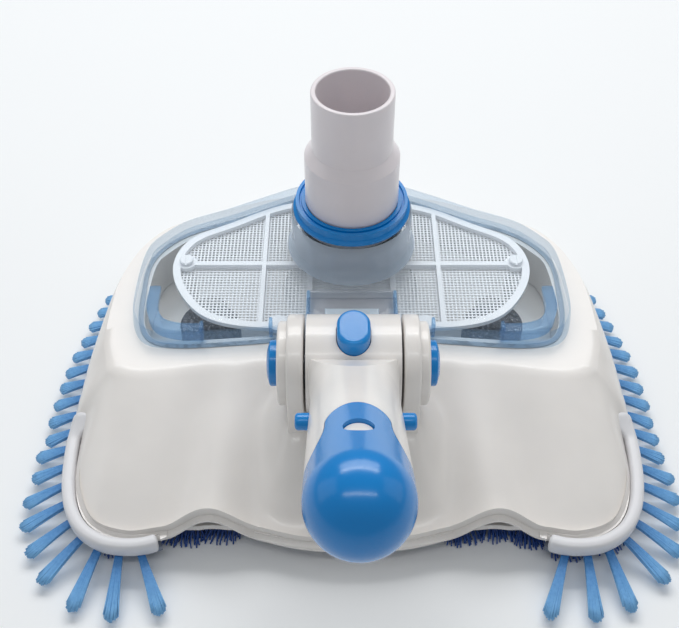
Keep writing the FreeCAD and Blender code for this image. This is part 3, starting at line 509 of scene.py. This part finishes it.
def edge_height(x, y):
    """Height of the shell's lower edge: level, but raised over the two front arches."""
    if y > HOSE.y - 0.7 * FRONT_LENGTH:
        return EDGE_Z
    away = min(1.0, abs(abs(x) - ARCH_AT) / ARCH_HALF)
    return EDGE_Z + ARCH_RISE * (0.5 + 0.5 * math.cos(math.pi * away))


def shell_height(share, straight):
    """Share of the rise reached at a share of the way in from the lower edge."""
    dome = math.sqrt(max(0.0, 1 - (1 - share) ** 2.6))
    return straight * share + (1 - straight) * dome


def ease(share):
    """A share of 0 to 1, eased in and out."""
    share = min(1.0, max(0.0, share))
    return share * share * (3 - 2 * share)


def ear_swell(x, y):
    """How far the shell rises towards the foot of the nearer hub ear."""
    across = abs(x) / MM
    outer = math.exp(-((max(0.0, across - SWELL_OUTER_START) / SWELL_OUTER_SPREAD) ** 2))
    inner = 0.25 + 0.75 * ease((across - 9) / 10)
    ahead = (HUB.y - y) / MM
    if ahead > SWELL_CREST:
        along = 1 - ease((ahead - SWELL_CREST) / SWELL_RUN_OUT)
    else:
        along = 0.15 + 0.85 * ease((ahead + 6) / 22)
        along *= ease((ahead + 22) / 14)
    return SWELL_RISE * outer * inner * along


def shell_rings(columns):
    """Rings from the lower edge up to the deck's edge."""
    rings = []
    for step in range(SHELL_STEPS + 1):
        share = (step / SHELL_STEPS) ** 1.7
        ring = []
        for low_x, low_y, top_x, top_y, straight in columns:
            x = low_x + (top_x - low_x) * share
            y = low_y + (top_y - low_y) * share
            foot = edge_height(low_x, low_y) + 1.6 * MM
            z = foot + (DECK_Z - foot) * shell_height(share, straight)
            ring.append((x, y, z + ear_swell(x, y) * min(1.0, share * 6)))
        rings.append(ring)
    return rings


def make_shell():
    """The white shell: its lower lip, its slopes and its deck, open under the cover."""
    columns = shell_columns()
    count = len(columns)
    low = columns[:, :2]
    rings = []
    inner = inset(low, WALL)
    rings.append([(p[0], p[1], edge_height(*q) + 6 * MM) for p, q in zip(inner, low)])
    rings.append([(p[0], p[1], edge_height(*q)) for p, q in zip(inner, low)])
    for out, lift in ((0.7 * MM, 0.0), (0.2 * MM, 0.25 * MM), (0.0, 0.8 * MM), (0.0, 1.3 * MM)):
        rings.append([(p[0], p[1], edge_height(*q) + lift) for p, q in zip(inset(low, out), low)])
    rings += shell_rings(columns)
    deck = np.array([(p[0], p[1]) for p in rings[-1]])
    angles = np.arctan2(deck[:, 1] - HOSE.y, deck[:, 0])
    window = polar_ring(inset(cover_outline(), WINDOW_LAP), angles)
    for share in (0.25, 0.5, 0.75, 1.0):
        flat = deck + (window - deck) * share
        rings.append([(x, y, DECK_Z + ear_swell(x, y) * (1 - share)) for x, y in flat])
    rings.append([(x, y, DECK_Z - 3 * MM) for x, y in window])
    rings.append([(x, y, PLATE_LOW.z + 3 * MM) for x, y in window])
    faces = grid_faces(len(rings), count)
    shell = add_mesh("shell", joined(rings), faces, SHELL_WHITE, "base")
    sharpen(shell, 40)
    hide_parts("upper_shell")


# Half outlines from the rear middle round to the front middle, as shares in plan.
COVER_ROWS = [
    (0.00, 0.935), (0.19, 0.880), (0.335, 0.725), (0.49, 0.530), (0.65, 0.350), (0.74, 0.150),
    (0.792, -0.020), (0.808, -0.165), (0.801, -0.297), (0.748, -0.379), (0.645, -0.397),
    (0.480, -0.390), (0.330, -0.378), (0.160, -0.363), (0.00, -0.360),
]
FILTER_ROWS = [
    (0.00, 0.740), (0.19, 0.740), (0.36, 0.600), (0.50, 0.400), (0.63, 0.200), (0.685, -0.050),
    (0.630, -0.200), (0.550, -0.278), (0.320, -0.330), (0.160, -0.337), (0.00, -0.337),
]


def cover_outline():
    """The clear cover's rim in plan."""
    return smooth_loop(both_halves([plan(*row) for row in COVER_ROWS]), 14)


def filter_outline():
    """The filter frame's outer edge in plan."""
    return smooth_loop(both_halves([plan(*row) for row in FILTER_ROWS]), 14)


def make_ear(side, sign):
    """A hub ear: a thick disc whose foot runs down into the swell of the shell."""
    inner, outer = 17.9 * MM, 24.0 * MM
    radius = 18 * MM
    soft = 0.9 * MM
    gathered = 0.3
    outline = [(-radius * 1.12, 22 * MM), (-radius * 1.04, 34 * MM), (-radius * 1.01, 44 * MM)]
    for step in range(41):
        turn = math.pi * (1 - step / 40)
        outline.append((radius * math.cos(turn), HUB.z + radius * math.sin(turn)))
    outline += [(radius * 1.0, 44 * MM), (radius * 0.9, 34 * MM), (radius * 0.8, 22 * MM)]
    outline = np.array(outline)
    middle = np.array([0.0, HUB.z])
    rings = []
    for x, shrink in ((inner, None), (inner, soft), (inner + soft * 0.3, soft * 0.3),
                      (inner + soft, 0.0), (outer - soft, 0.0),
                      (outer - soft * 0.3, soft * 0.3), (outer, soft), (outer, None)):
        if shrink is None:
            flat = middle + (outline - middle) * gathered
        else:
            away = outline - middle
            flat = outline - away / np.linalg.norm(away, axis=1)[:, None] * shrink
        rings.append([(sign * x, HUB.y + p[0], p[1]) for p in flat])
    faces = capped_faces(len(rings), len(outline))
    ear = add_mesh(f"hub_ear_{side}", joined(rings), faces, SHELL_WHITE, "base")
    sharpen(ear, 50)
    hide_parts("upper_shell")


def make_cover_hinge(side, sign):
    """One hinge at the rear: a lug on the cover, and an ear on the shell that takes its pin."""
    for name, body, slot, material, node, span, radius, foot, reach in (
            ("cover_lug", "cover", "clear_plastic", CLEAR, "clear_cover",
             LUG_SPAN, 2.1 * MM, 0.0, 5.5 * MM),
            ("hinge_ear", "base", "white_plastic", SHELL_WHITE, "upper_shell",
             HINGE_EAR_SPAN, 2.28 * MM, 7 * MM, 0.0)):
        outline = []
        for step in range(21):
            turn = math.pi * step / 20 + (math.pi * 1.5 if reach else 0.0)
            outline.append((HINGE.y + radius * math.cos(turn), HINGE.z + radius * math.sin(turn)))
        if reach:
            outline += [(HINGE.y - reach, HINGE.z + radius), (HINGE.y - reach, HINGE.z - radius)]
        else:
            outline += [(HINGE.y - radius, HINGE.z - foot), (HINGE.y + radius, HINGE.z - foot)]
        count = len(outline)
        points = [(sign * x, *place) for x in span for place in outline]
        piece = add_mesh(f"{name}_{side}", points, capped_faces(2, count), material, body)
        sharpen(piece, 30)
        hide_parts(node)


# Bumpers

BUMPER_LOW = 7.6 * MM
BUMPER_HIGH = 14.6 * MM
BUMPER_SIDES = 20
BUMPER_WIDTH = 4.9
HOOK_LENGTH = 11 * MM
HOOK_WIDTH = 6.0
HOOK_RISE = 4.4 * MM


def soft_square(value):
    """A circle's coordinate pushed outwards, for a rounded square section."""
    return abs(value) ** 0.6 * (1 if value > 0 else -1)


def make_bumper(side, sign):
    """A soft bar along the front corner, with a wider hooked rear end."""
    rows = [plan(u, v) for u, v in ((0.994, -0.555), (1.000, -0.62), (0.998, -0.70), (0.984, -0.800),
                                    (0.953, -0.885), (0.900, -0.950), (0.825, -0.990),
                                    (0.750, -1.003), (0.680, -1.000), (0.628, -0.987))]
    path = smooth_loop(rows, 8, closed=False)
    inward = sideways(path)
    rings = []
    travelled = np.concatenate([[0], np.cumsum(np.linalg.norm(np.diff(path, axis=0), axis=1))])
    total = travelled[-1]
    for i in range(len(path)):
        hook = max(0.0, 1 - travelled[i] / HOOK_LENGTH)
        width = (BUMPER_WIDTH + HOOK_WIDTH * math.sin(math.pi * min(1.0, hook * 1.25) / 2) ** 2) * MM
        ends = min(travelled[i] / (2.6 * MM), (total - travelled[i]) / (1.2 * MM), 1.0)
        close = math.sqrt(max(0.0, 1 - (1 - ends) ** 2))
        top = BUMPER_HIGH + hook ** 1.5 * HOOK_RISE
        ring = []
        for step in range(BUMPER_SIDES):
            turn = 2 * math.pi * step / BUMPER_SIDES
            across = soft_square(math.cos(turn))
            up = soft_square(math.sin(turn))
            depth = width / 2 + across * width / 2 * (0.35 + 0.65 * close)
            z = (BUMPER_LOW + top) / 2 + up * (top - BUMPER_LOW) / 2 * (0.5 + 0.5 * close)
            x, y = path[i] + inward[i] * (depth + hook * 0.6 * MM)
            ring.append((sign * x, y, z))
        rings.append(ring)
    faces = capped_faces(len(rings), BUMPER_SIDES)
    bumper = add_mesh(f"bumper_bar_{side}", joined(rings), faces, BUMPER_GREY, "base")
    sharpen(bumper, 60)
    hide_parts(f"bumper_{side}")


# Clear cover


def ring_at(outline, z):
    """A plan outline at one height."""
    return [(x, y, z) for x, y in outline]


def circle_ring(radius, z, angles):
    """A circle about the hose axis at one height."""
    return [(math.cos(a) * radius, HOSE.y + math.sin(a) * radius, z) for a in angles]


COVER_TOP = 39.3 * MM
COVER_WALL = 2.2 * MM
COLLAR_FOOT = 26.4 * MM
# Collar sections, each a radius and a height in millimetres.
COLLAR_ROWS = [
    (25.4, 43.0), (24.8, 44.6), (24.5, 47.0), (24.7, 51.0), (24.5, 55.5), (24.3, 58.3), (23.9, 58.9),
    (22.2, 58.9), (21.6, 58.4), (21.6, 49.8), (18.5, 49.7), (18.5, 38.0), (19.5, 37.2),
]
FROSTED_ROWS = [
    (27.0, 39.9), (26.0, 41.2), (25.1, 43.4), (24.9, 46.5), (25.0, 50.0), (25.2, 54.0), (25.1, 57.0),
    (24.8, 58.2), (24.6, 57.6), (24.7, 52.0), (24.6, 46.0), (25.2, 41.0),
]
STEEP = 0.6


def circle_rings(rows, angles):
    """Circles about the hose axis from radii and heights in millimetres."""
    return [circle_ring(radius * MM, z * MM, angles) for radius, z in rows]


# The latch recess: its half width, distances ahead of the hose axis, heights and wall, in millimetres.
RECESS_HALF = 17.0
RECESS_REAR = 30.0
RECESS_FRONT = 46.0
RECESS_FLOOR = 35.0
RECESS_TOP = 39.2
RECESS_WALL = 1.4
# Stiffening ribs under the cover: how far across each is, and how far ahead of the hose it starts.
RIB_PLACES = ((32.5, 47.5), (60.0, 49.5))
RIB_LENGTH = 4.5
RIB_HALF = 0.7
RIB_LOW = 31.0
RIB_TOP = 38.4


def make_cover():
    """The clear cover and its collar as one closed skin, with the latch recess cut in."""
    angles = np.linspace(-math.pi, math.pi, 240, endpoint=False)
    foot = COVER_LOW.z
    top = COVER_TOP
    wall = COVER_WALL
    rim = 2.6 * MM
    inner_rim = 4.4 * MM
    outline = cover_outline()

    def level(distance, z):
        return ring_at(polar_ring(inset(outline, distance), angles), z)

    def between(share, z, distance):
        edge = polar_ring(inset(outline, distance), angles)
        round_ring = np.array([(p[0], p[1]) for p in circle_ring(COLLAR_FOOT, 0, angles)])
        return ring_at(edge + (round_ring - edge) * share, z)

    rings = [
        level(wall, foot), level(0.0, foot), level(0.1 * MM, foot + 2 * MM),
        level(0.7 * MM, top - 3 * MM), level(1.0 * MM, top - 1.6 * MM), level(1.6 * MM, top - 0.6 * MM),
        level(rim, top), between(0.2, top + 0.3 * MM, rim), between(0.5, top + 0.8 * MM, rim),
        between(0.85, top + 1.2 * MM, rim), between(1.0, top + 1.6 * MM, rim),
    ]
    rings += circle_rings(COLLAR_ROWS, angles)
    rings += [between(0.5, top - 2.0 * MM, inner_rim), level(inner_rim, top - wall),
              level(3.2 * MM, top - wall - 1.2 * MM), level(wall + 0.4 * MM, foot + 2 * MM)]
    faces = endless_faces(len(rings), len(angles))
    cover = add_mesh("cover_skin", joined(rings), faces, CLEAR, "cover")
    past_rim, past_top = 52 * MM, 60 * MM
    recess_low = (-RECESS_HALF * MM, HOSE.y - past_rim, RECESS_FLOOR * MM)
    recess_high = (RECESS_HALF * MM, HOSE.y - RECESS_REAR * MM, past_top)
    cut_box(cover, recess_low, recess_high)
    sharpen(cover, 38)
    cover.data.materials.append(CLEAR_EDGE)
    for face in cover.data.polygons:
        away = math.hypot(face.center.x, face.center.y - HOSE.y)
        if abs(face.normal.z) < STEEP and away > 31 * MM:
            face.material_index = 1
    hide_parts("clear_cover")


def make_collar_skin():
    """The collar's frosted outside, a bell that flares a little under the ring and at its foot."""
    angles = np.linspace(-math.pi, math.pi, 120, endpoint=False)
    rings = circle_rings(FROSTED_ROWS, angles)
    faces = endless_faces(len(rings), len(angles))
    collar = add_mesh("collar_skin", joined(rings), faces, FROSTED, "cover")
    sharpen(collar, 40)
    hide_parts("clear_cover")


def make_cover_walls():
    """The tinted inner walls of the latch recess and the cover's stiffening ribs."""
    axis = HOSE.y / MM
    outer = RECESS_HALF + RECESS_WALL
    front, inner_rear = axis - RECESS_FRONT, axis - RECESS_REAR
    rear = inner_rear + RECESS_WALL
    floor_and_rear = [
        ((-outer, front, RECESS_FLOOR - RECESS_WALL), (outer, rear, RECESS_FLOOR)),
        ((-RECESS_HALF, inner_rear, RECESS_FLOOR), (RECESS_HALF, rear, RECESS_TOP)),
    ]
    sides = [
        ((-outer, front, RECESS_FLOOR), (-RECESS_HALF, rear, RECESS_TOP)),
        ((RECESS_HALF, front, RECESS_FLOOR), (outer, rear, RECESS_TOP)),
    ]
    for sign in (-1, 1):
        for across, ahead in RIB_PLACES:
            sides.append(((sign * across - RIB_HALF, axis - ahead, RIB_LOW),
                          (sign * across + RIB_HALF, axis - ahead + RIB_LENGTH, RIB_TOP)))
    floor = rounded_boxes("recess_floor", floor_and_rear, CLEAR_FLOOR, "cover")
    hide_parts("clear_cover")
    walls = rounded_boxes("cover_walls", sides, CLEAR_TINT, "cover")
    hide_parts("clear_cover")


def make_corner_wall(side, sign):
    """A thick curved rib, tinted by its depth, in the cover's front corner."""
    rows = [plan(u, v) for u, v in ((0.540, -0.352), (0.640, -0.347), (0.705, -0.318), (0.735, -0.250),
                                    (0.740, -0.150))]
    path = smooth_loop(rows, 10, closed=False)
    out = sideways(path) * 2.3 * MM
    low, high = 30.9 * MM, 36.6 * MM
    rings = []
    for i, place in enumerate(path):
        top = high - 3.5 * MM * ease((i - 25) / 15)
        a, b = place + out[i], place - out[i]
        rings.append([(sign * a[0], a[1], low), (sign * a[0], a[1], top - 0.4 * MM),
                      (sign * (a[0] + b[0]) / 2, (a[1] + b[1]) / 2, top),
                      (sign * b[0], b[1], top - 0.4 * MM), (sign * b[0], b[1], low)])
    faces = capped_faces(len(rings), 5)
    wall = add_mesh(f"corner_wall_{side}", joined(rings), faces, CLEAR_TINT, "cover")
    sharpen(wall, 50)
    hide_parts("clear_cover")


# Filter net


def crossings(outline, axis, place):
    """Where a line of constant x or y crosses an outline: the two outermost values."""
    other = 1 - axis
    start = outline
    end = np.roll(outline, -1, axis=0)
    hit = (start[:, axis] - place) * (end[:, axis] - place) <= 0
    share = (place - start[hit, axis]) / (end[hit, axis] - start[hit, axis] + 1e-12)
    values = start[hit, other] + share * (end[hit, other] - start[hit, other])
    return (values.min(), values.max()) if len(values) > 1 else None


def make_net():
    """Woven filter net: flat strands both ways, each row a touch over or under the other."""
    outline = inset(filter_outline(), 1.6 * MM)
    pitch = 1.55 * MM
    half = 0.30 * MM
    base = FRAME_LOW.z - 0.35 * MM
    points, faces = [], []
    for axis, lift in ((0, 0.0), (1, 0.12 * MM)):
        low, high = outline[:, axis].min(), outline[:, axis].max()
        place = low + pitch
        while place < high - pitch / 2:
            span = crossings(outline, axis, place)
            if span:
                a, b = span
                z0, z1 = base + lift - 0.1 * MM, base + lift + 0.1 * MM
                for z in (z0, z1):
                    for value, edge in ((a, -half), (b, -half), (b, half), (a, half)):
                        flat = (place + edge, value) if axis == 0 else (value, place + edge)
                        points.append((*flat, z))
                k = len(points) - 8
                faces += [(k, k + 3, k + 2, k + 1), (k + 4, k + 5, k + 6, k + 7)]
                faces += [(k + i, k + (i + 1) % 4, k + 4 + (i + 1) % 4, k + 4 + i) for i in range(4)]
            place += pitch
    net = add_mesh("filter_net", points, faces, FILTER_WHITE, "base", smooth=False)
    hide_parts("filter_mesh")


# Brushes

SIDE_TUFTS = 19
SIDE_STRAND = 0.33 * MM
SIDE_ROWS = 3
SIDE_COLUMNS = 11
SIDE_TURN = -12
SIDE_REACH = 15.5
CORNER_REACH = 9.5
SIDE_HEIGHT = 7.2 * MM
SIDE_DROP = 3.6 * MM
FOOT_STRAND = 0.3 * MM
FOOT_STRANDS = 56
GOLDEN_TURN = 2.39996


def filament(points, faces, path, radius):
    """One nylon strand: a five-sided tube along a path that ends in a blunt tip."""
    start = len(points)
    sides = 5
    for i, place in enumerate(path):
        ahead = (path[min(i + 1, len(path) - 1)] - path[max(i - 1, 0)]).normalized()
        side = ahead.cross(Vector((0, 0, 1)))
        side = side.normalized() if side.length > 1e-6 else Vector((1, 0, 0))
        up = side.cross(ahead)
        for step in range(sides):
            turn = 2 * math.pi * step / sides
            points.append(place + (side * math.cos(turn) + up * math.sin(turn)) * radius)
    faces += capped_faces(len(path), sides, start)


def side_run(count):
    """Places and outward directions along the brush strip, from the rear side to the front corner."""
    rows = [plan(u, v) for u, v in ((0.870, 0.040), (0.928, -0.140), (0.975, -0.340), (0.990, -0.600),
                                    (0.972, -0.800), (0.885, -0.945), (0.740, -1.000), (0.615, -0.985))]
    path = smooth_loop(rows, 40, closed=False)
    gaps = np.linalg.norm(np.diff(path, axis=0), axis=1)
    travelled = np.concatenate([[0], np.cumsum(gaps)])
    spots = []
    for i in range(count):
        goal = travelled[-1] * (0.02 + 0.93 * i / (count - 1))
        x, y = (np.interp(goal, travelled, path[:, k]) for k in (0, 1))
        k = min(int(np.searchsorted(travelled, goal)), len(path) - 2)
        ahead = path[k + 1] - path[k - 1 if k else 0]
        ahead /= np.linalg.norm(ahead)
        spots.append((Vector((x, y, 0)), Vector((-ahead[1], ahead[0], 0))))
    return spots


def make_side_tufts(side, sign, seed):
    """Flat flared tufts of nylon that fan out round one side and its front corner."""
    chance = random.Random(seed)
    points, faces = [], []
    for number, (place, outward) in enumerate(side_run(SIDE_TUFTS)):
        turn = math.radians(SIDE_TURN + chance.uniform(-3, 3))
        outward = Matrix.Rotation(turn, 3, "Z") @ outward
        aside = Vector((-outward.y, outward.x, 0))
        grow = ease((number - 8.5) / 8)
        reach = (SIDE_REACH + CORNER_REACH * grow) * MM * chance.uniform(0.95, 1.04)
        for row in range(SIDE_ROWS):
            for column in range(SIDE_COLUMNS):
                middle = SIDE_COLUMNS // 2
                across = (column - middle) / middle + chance.uniform(-0.06, 0.06)
                layer = (row - SIDE_ROWS // 2) * 0.62 * MM
                length = reach * (1 - 0.09 * abs(across) ** 2.5) * chance.uniform(0.975, 1.01)
                path = []
                for step in range(7):
                    share = step / 6
                    flare = 1.05 + 1.45 * share ** 1.4
                    height = SIDE_HEIGHT - SIDE_DROP * share ** 1.3
                    spot = place + outward * (length * share - 2.0 * MM)
                    spot = spot + aside * (across * flare * MM)
                    spot.z = height + layer * (1 - 0.25 * share)
                    spot.x *= sign
                    path.append(spot)
                filament(points, faces, path, SIDE_STRAND)
    tufts = add_mesh(f"side_bristles_{side}", points, faces, SIDE_NYLON, "base")
    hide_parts(f"side_tufts_{side}")


def foot_spots(node):
    """Centres of a CAD node's separate tufts, from its vertices at the floor."""
    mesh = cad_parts[node].data
    floor = [Vector((v.co.x, v.co.y, 0)) for v in mesh.vertices if v.co.z < 0.0005]
    groups = []
    for spot in floor:
        for group in groups:
            if (group[0] - spot).length < 9 * MM:
                group.append(spot)
                break
        else:
            groups.append([spot])
    return [Vector(((min(p.x for p in g) + max(p.x for p in g)) / 2,
                    (min(p.y for p in g) + max(p.y for p in g)) / 2, 0)) for g in groups]


def make_foot_tufts(node, seed, lean):
    """Short crimped tufts under the floor plate, splayed outwards by a lean."""
    chance = random.Random(seed)
    points, faces = [], []
    for spot in foot_spots(node):
        outward = (spot - Vector((spot.x * 0.6, HOSE.y, 0))).normalized()
        in_arch = abs(abs(spot.x) - ARCH_AT) < 14 * MM or abs(spot.x) > 76 * MM
        wide = 2.0 if in_arch else 1.0
        reach = lean if in_arch else lean * 0.35
        for number in range(FOOT_STRANDS):
            radius = math.sqrt((number + 0.5) / FOOT_STRANDS)
            turn = number * GOLDEN_TURN
            bend = chance.uniform(0, 2 * math.pi)
            path = []
            for step in range(7):
                share = step / 6
                spread = (1.8 + 2.2 * share) * radius * MM
                crimp = 0.5 * MM * math.sin(share * 7 + bend) * share
                path.append(spot + outward * (reach * share ** 1.3) + Vector((
                    math.cos(turn) * spread * wide + crimp, math.sin(turn) * spread + crimp,
                    PLATE_LOW.z * (1 - share) + 0.55 * MM + 0.2 * MM * math.sin(bend * 3))))
            filament(points, faces, path, FOOT_STRAND)
    tufts = add_mesh(node + "_bristles", points, faces, SHADED_FOOT_NYLON, "base")
    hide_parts(node)


# Finishes of the CAD nodes that stay

FINISHES = {
    "bottom_plate": SHELL_WHITE, "bottom_screws": STEEL, "filter_screws": FILTER_WHITE,
    "side_brush_strip_left": STRIP_GREY, "side_brush_strip_right": STRIP_GREY,
    "filter_posts": SHELL_WHITE, "weight_left": BALLAST, "weight_right": BALLAST,
    "filter_frame": FILTER_WHITE,
    "cover_gasket": GASKET_PALE, "pivot_axle": STEEL, "ear_cap_left": SHELL_WHITE,
    "ear_cap_right": SHELL_WHITE, "axle_cap_left": BLUE, "axle_cap_right": BLUE,
    "retaining_ring": BLUE, "cover_latch": LATCH_PALE, "hose_spigot": SPIGOT_WHITE,
    "swivel_seal": SEAL_BLACK, "handle_arm": SHELL_WHITE, "handle_end_cap": CAP_BLUE,
    "hub_bush_left": STRIP_GREY, "hub_bush_right": STRIP_GREY, "snap_spring": STEEL,
    "button_spring": STEEL, "lock_button": BLUE, "snap_pin_left": BLUE, "snap_pin_right": BLUE,
}


def finish_nodes():
    """Give each kept CAD node its finish."""
    for name, material in FINISHES.items():
        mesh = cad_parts[name].data
        mesh.materials.clear()
        mesh.materials.append(material)


# Stage


def area_light(name, place, aim, size, power, colour=(1, 1, 1)):
    """A rectangular soft light that faces a point."""
    data = bpy.data.lights.new(name, "AREA")
    data.shape = "RECTANGLE"
    data.size, data.size_y = size
    data.energy = power
    data.color = colour
    lamp = bpy.data.objects.new(name, data)
    bpy.context.scene.collection.objects.link(lamp)
    lamp.location = place
    lamp.rotation_euler = (Vector(aim) - Vector(place)).to_track_quat("-Z", "Y").to_euler()


FLOOR_SIDE = 8
SHELL_AIM = (0, 0.02, 0.03)
BALL_AIM = (0, -0.107, 0.119)


def make_stage():
    """The floor, a soft light from the rear, two strips for the ball's highlights and weak fills."""
    bpy.ops.mesh.primitive_plane_add(size=1.0)
    floor = bpy.context.object
    floor.name = "floor"
    floor.scale = (FLOOR_SIDE, FLOOR_SIDE, 1)
    floor.data.materials.append(pale_floor("pale_floor"))
    area_light("rear_key", (0.0, 0.85, 1.05), SHELL_AIM, (1.5, 0.6), 10.0)
    area_light("strip_behind", (0.0, 0.54, 0.94), BALL_AIM, (1.25, 0.06), 1.7)
    area_light("strip_ahead", (0.0, -0.374, 1.083), BALL_AIM, (1.25, 0.07), 2.0)
    area_light("left_fill", (-0.95, 0.1, 0.55), SHELL_AIM, (0.6, 0.8), 0.8, (0.95, 0.98, 1.0))
    area_light("right_fill", (0.95, 0.1, 0.55), SHELL_AIM, (0.6, 0.8), 0.7, (1.0, 0.99, 0.97))
    world = bpy.data.worlds.new("studio")
    bpy.context.scene.world = world
    world.use_nodes = True
    back = world.node_tree.nodes["Background"]
    back.inputs["Color"].default_value = (0.93, 0.97, 1.0, 1.0)
    back.inputs["Strength"].default_value = 0.31
    bpy.context.scene.view_settings.view_transform = "Standard"


CAMERA_FALL = math.radians(46.5)
CAMERA_BACK = 321 * MM
CAMERA_HEIGHT = 333 * MM
CAMERA_ASIDE = -5 * MM
CAMERA_LENS = 53.76


def make_camera():
    """The camera, ahead of the head and above it, level across."""
    data = bpy.data.cameras.new("camera")
    data.lens = CAMERA_LENS
    data.clip_start = 0.01
    camera = bpy.data.objects.new("camera", data)
    bpy.context.scene.collection.objects.link(camera)
    camera.location = (CAMERA_ASIDE, HOSE.y - CAMERA_BACK, CAMERA_HEIGHT)
    camera.rotation_euler = (math.pi / 2 - CAMERA_FALL, 0, 0)
    bpy.context.scene.camera = camera


make_camera()
make_stage()
finish_nodes()
make_shell()
make_cover()
make_collar_skin()
make_cover_walls()
make_net()
for number, (side, sign) in enumerate(SIDES):
    make_ear(side, sign)
    make_bumper(side, sign)
    make_cover_hinge(side, sign)
    make_corner_wall(side, sign)
    make_side_tufts(side, sign, 11 + number)
make_foot_tufts("bottom_tufts_front", 21, 7.5 * MM)
make_foot_tufts("bottom_tufts_rear", 22, 2 * MM)
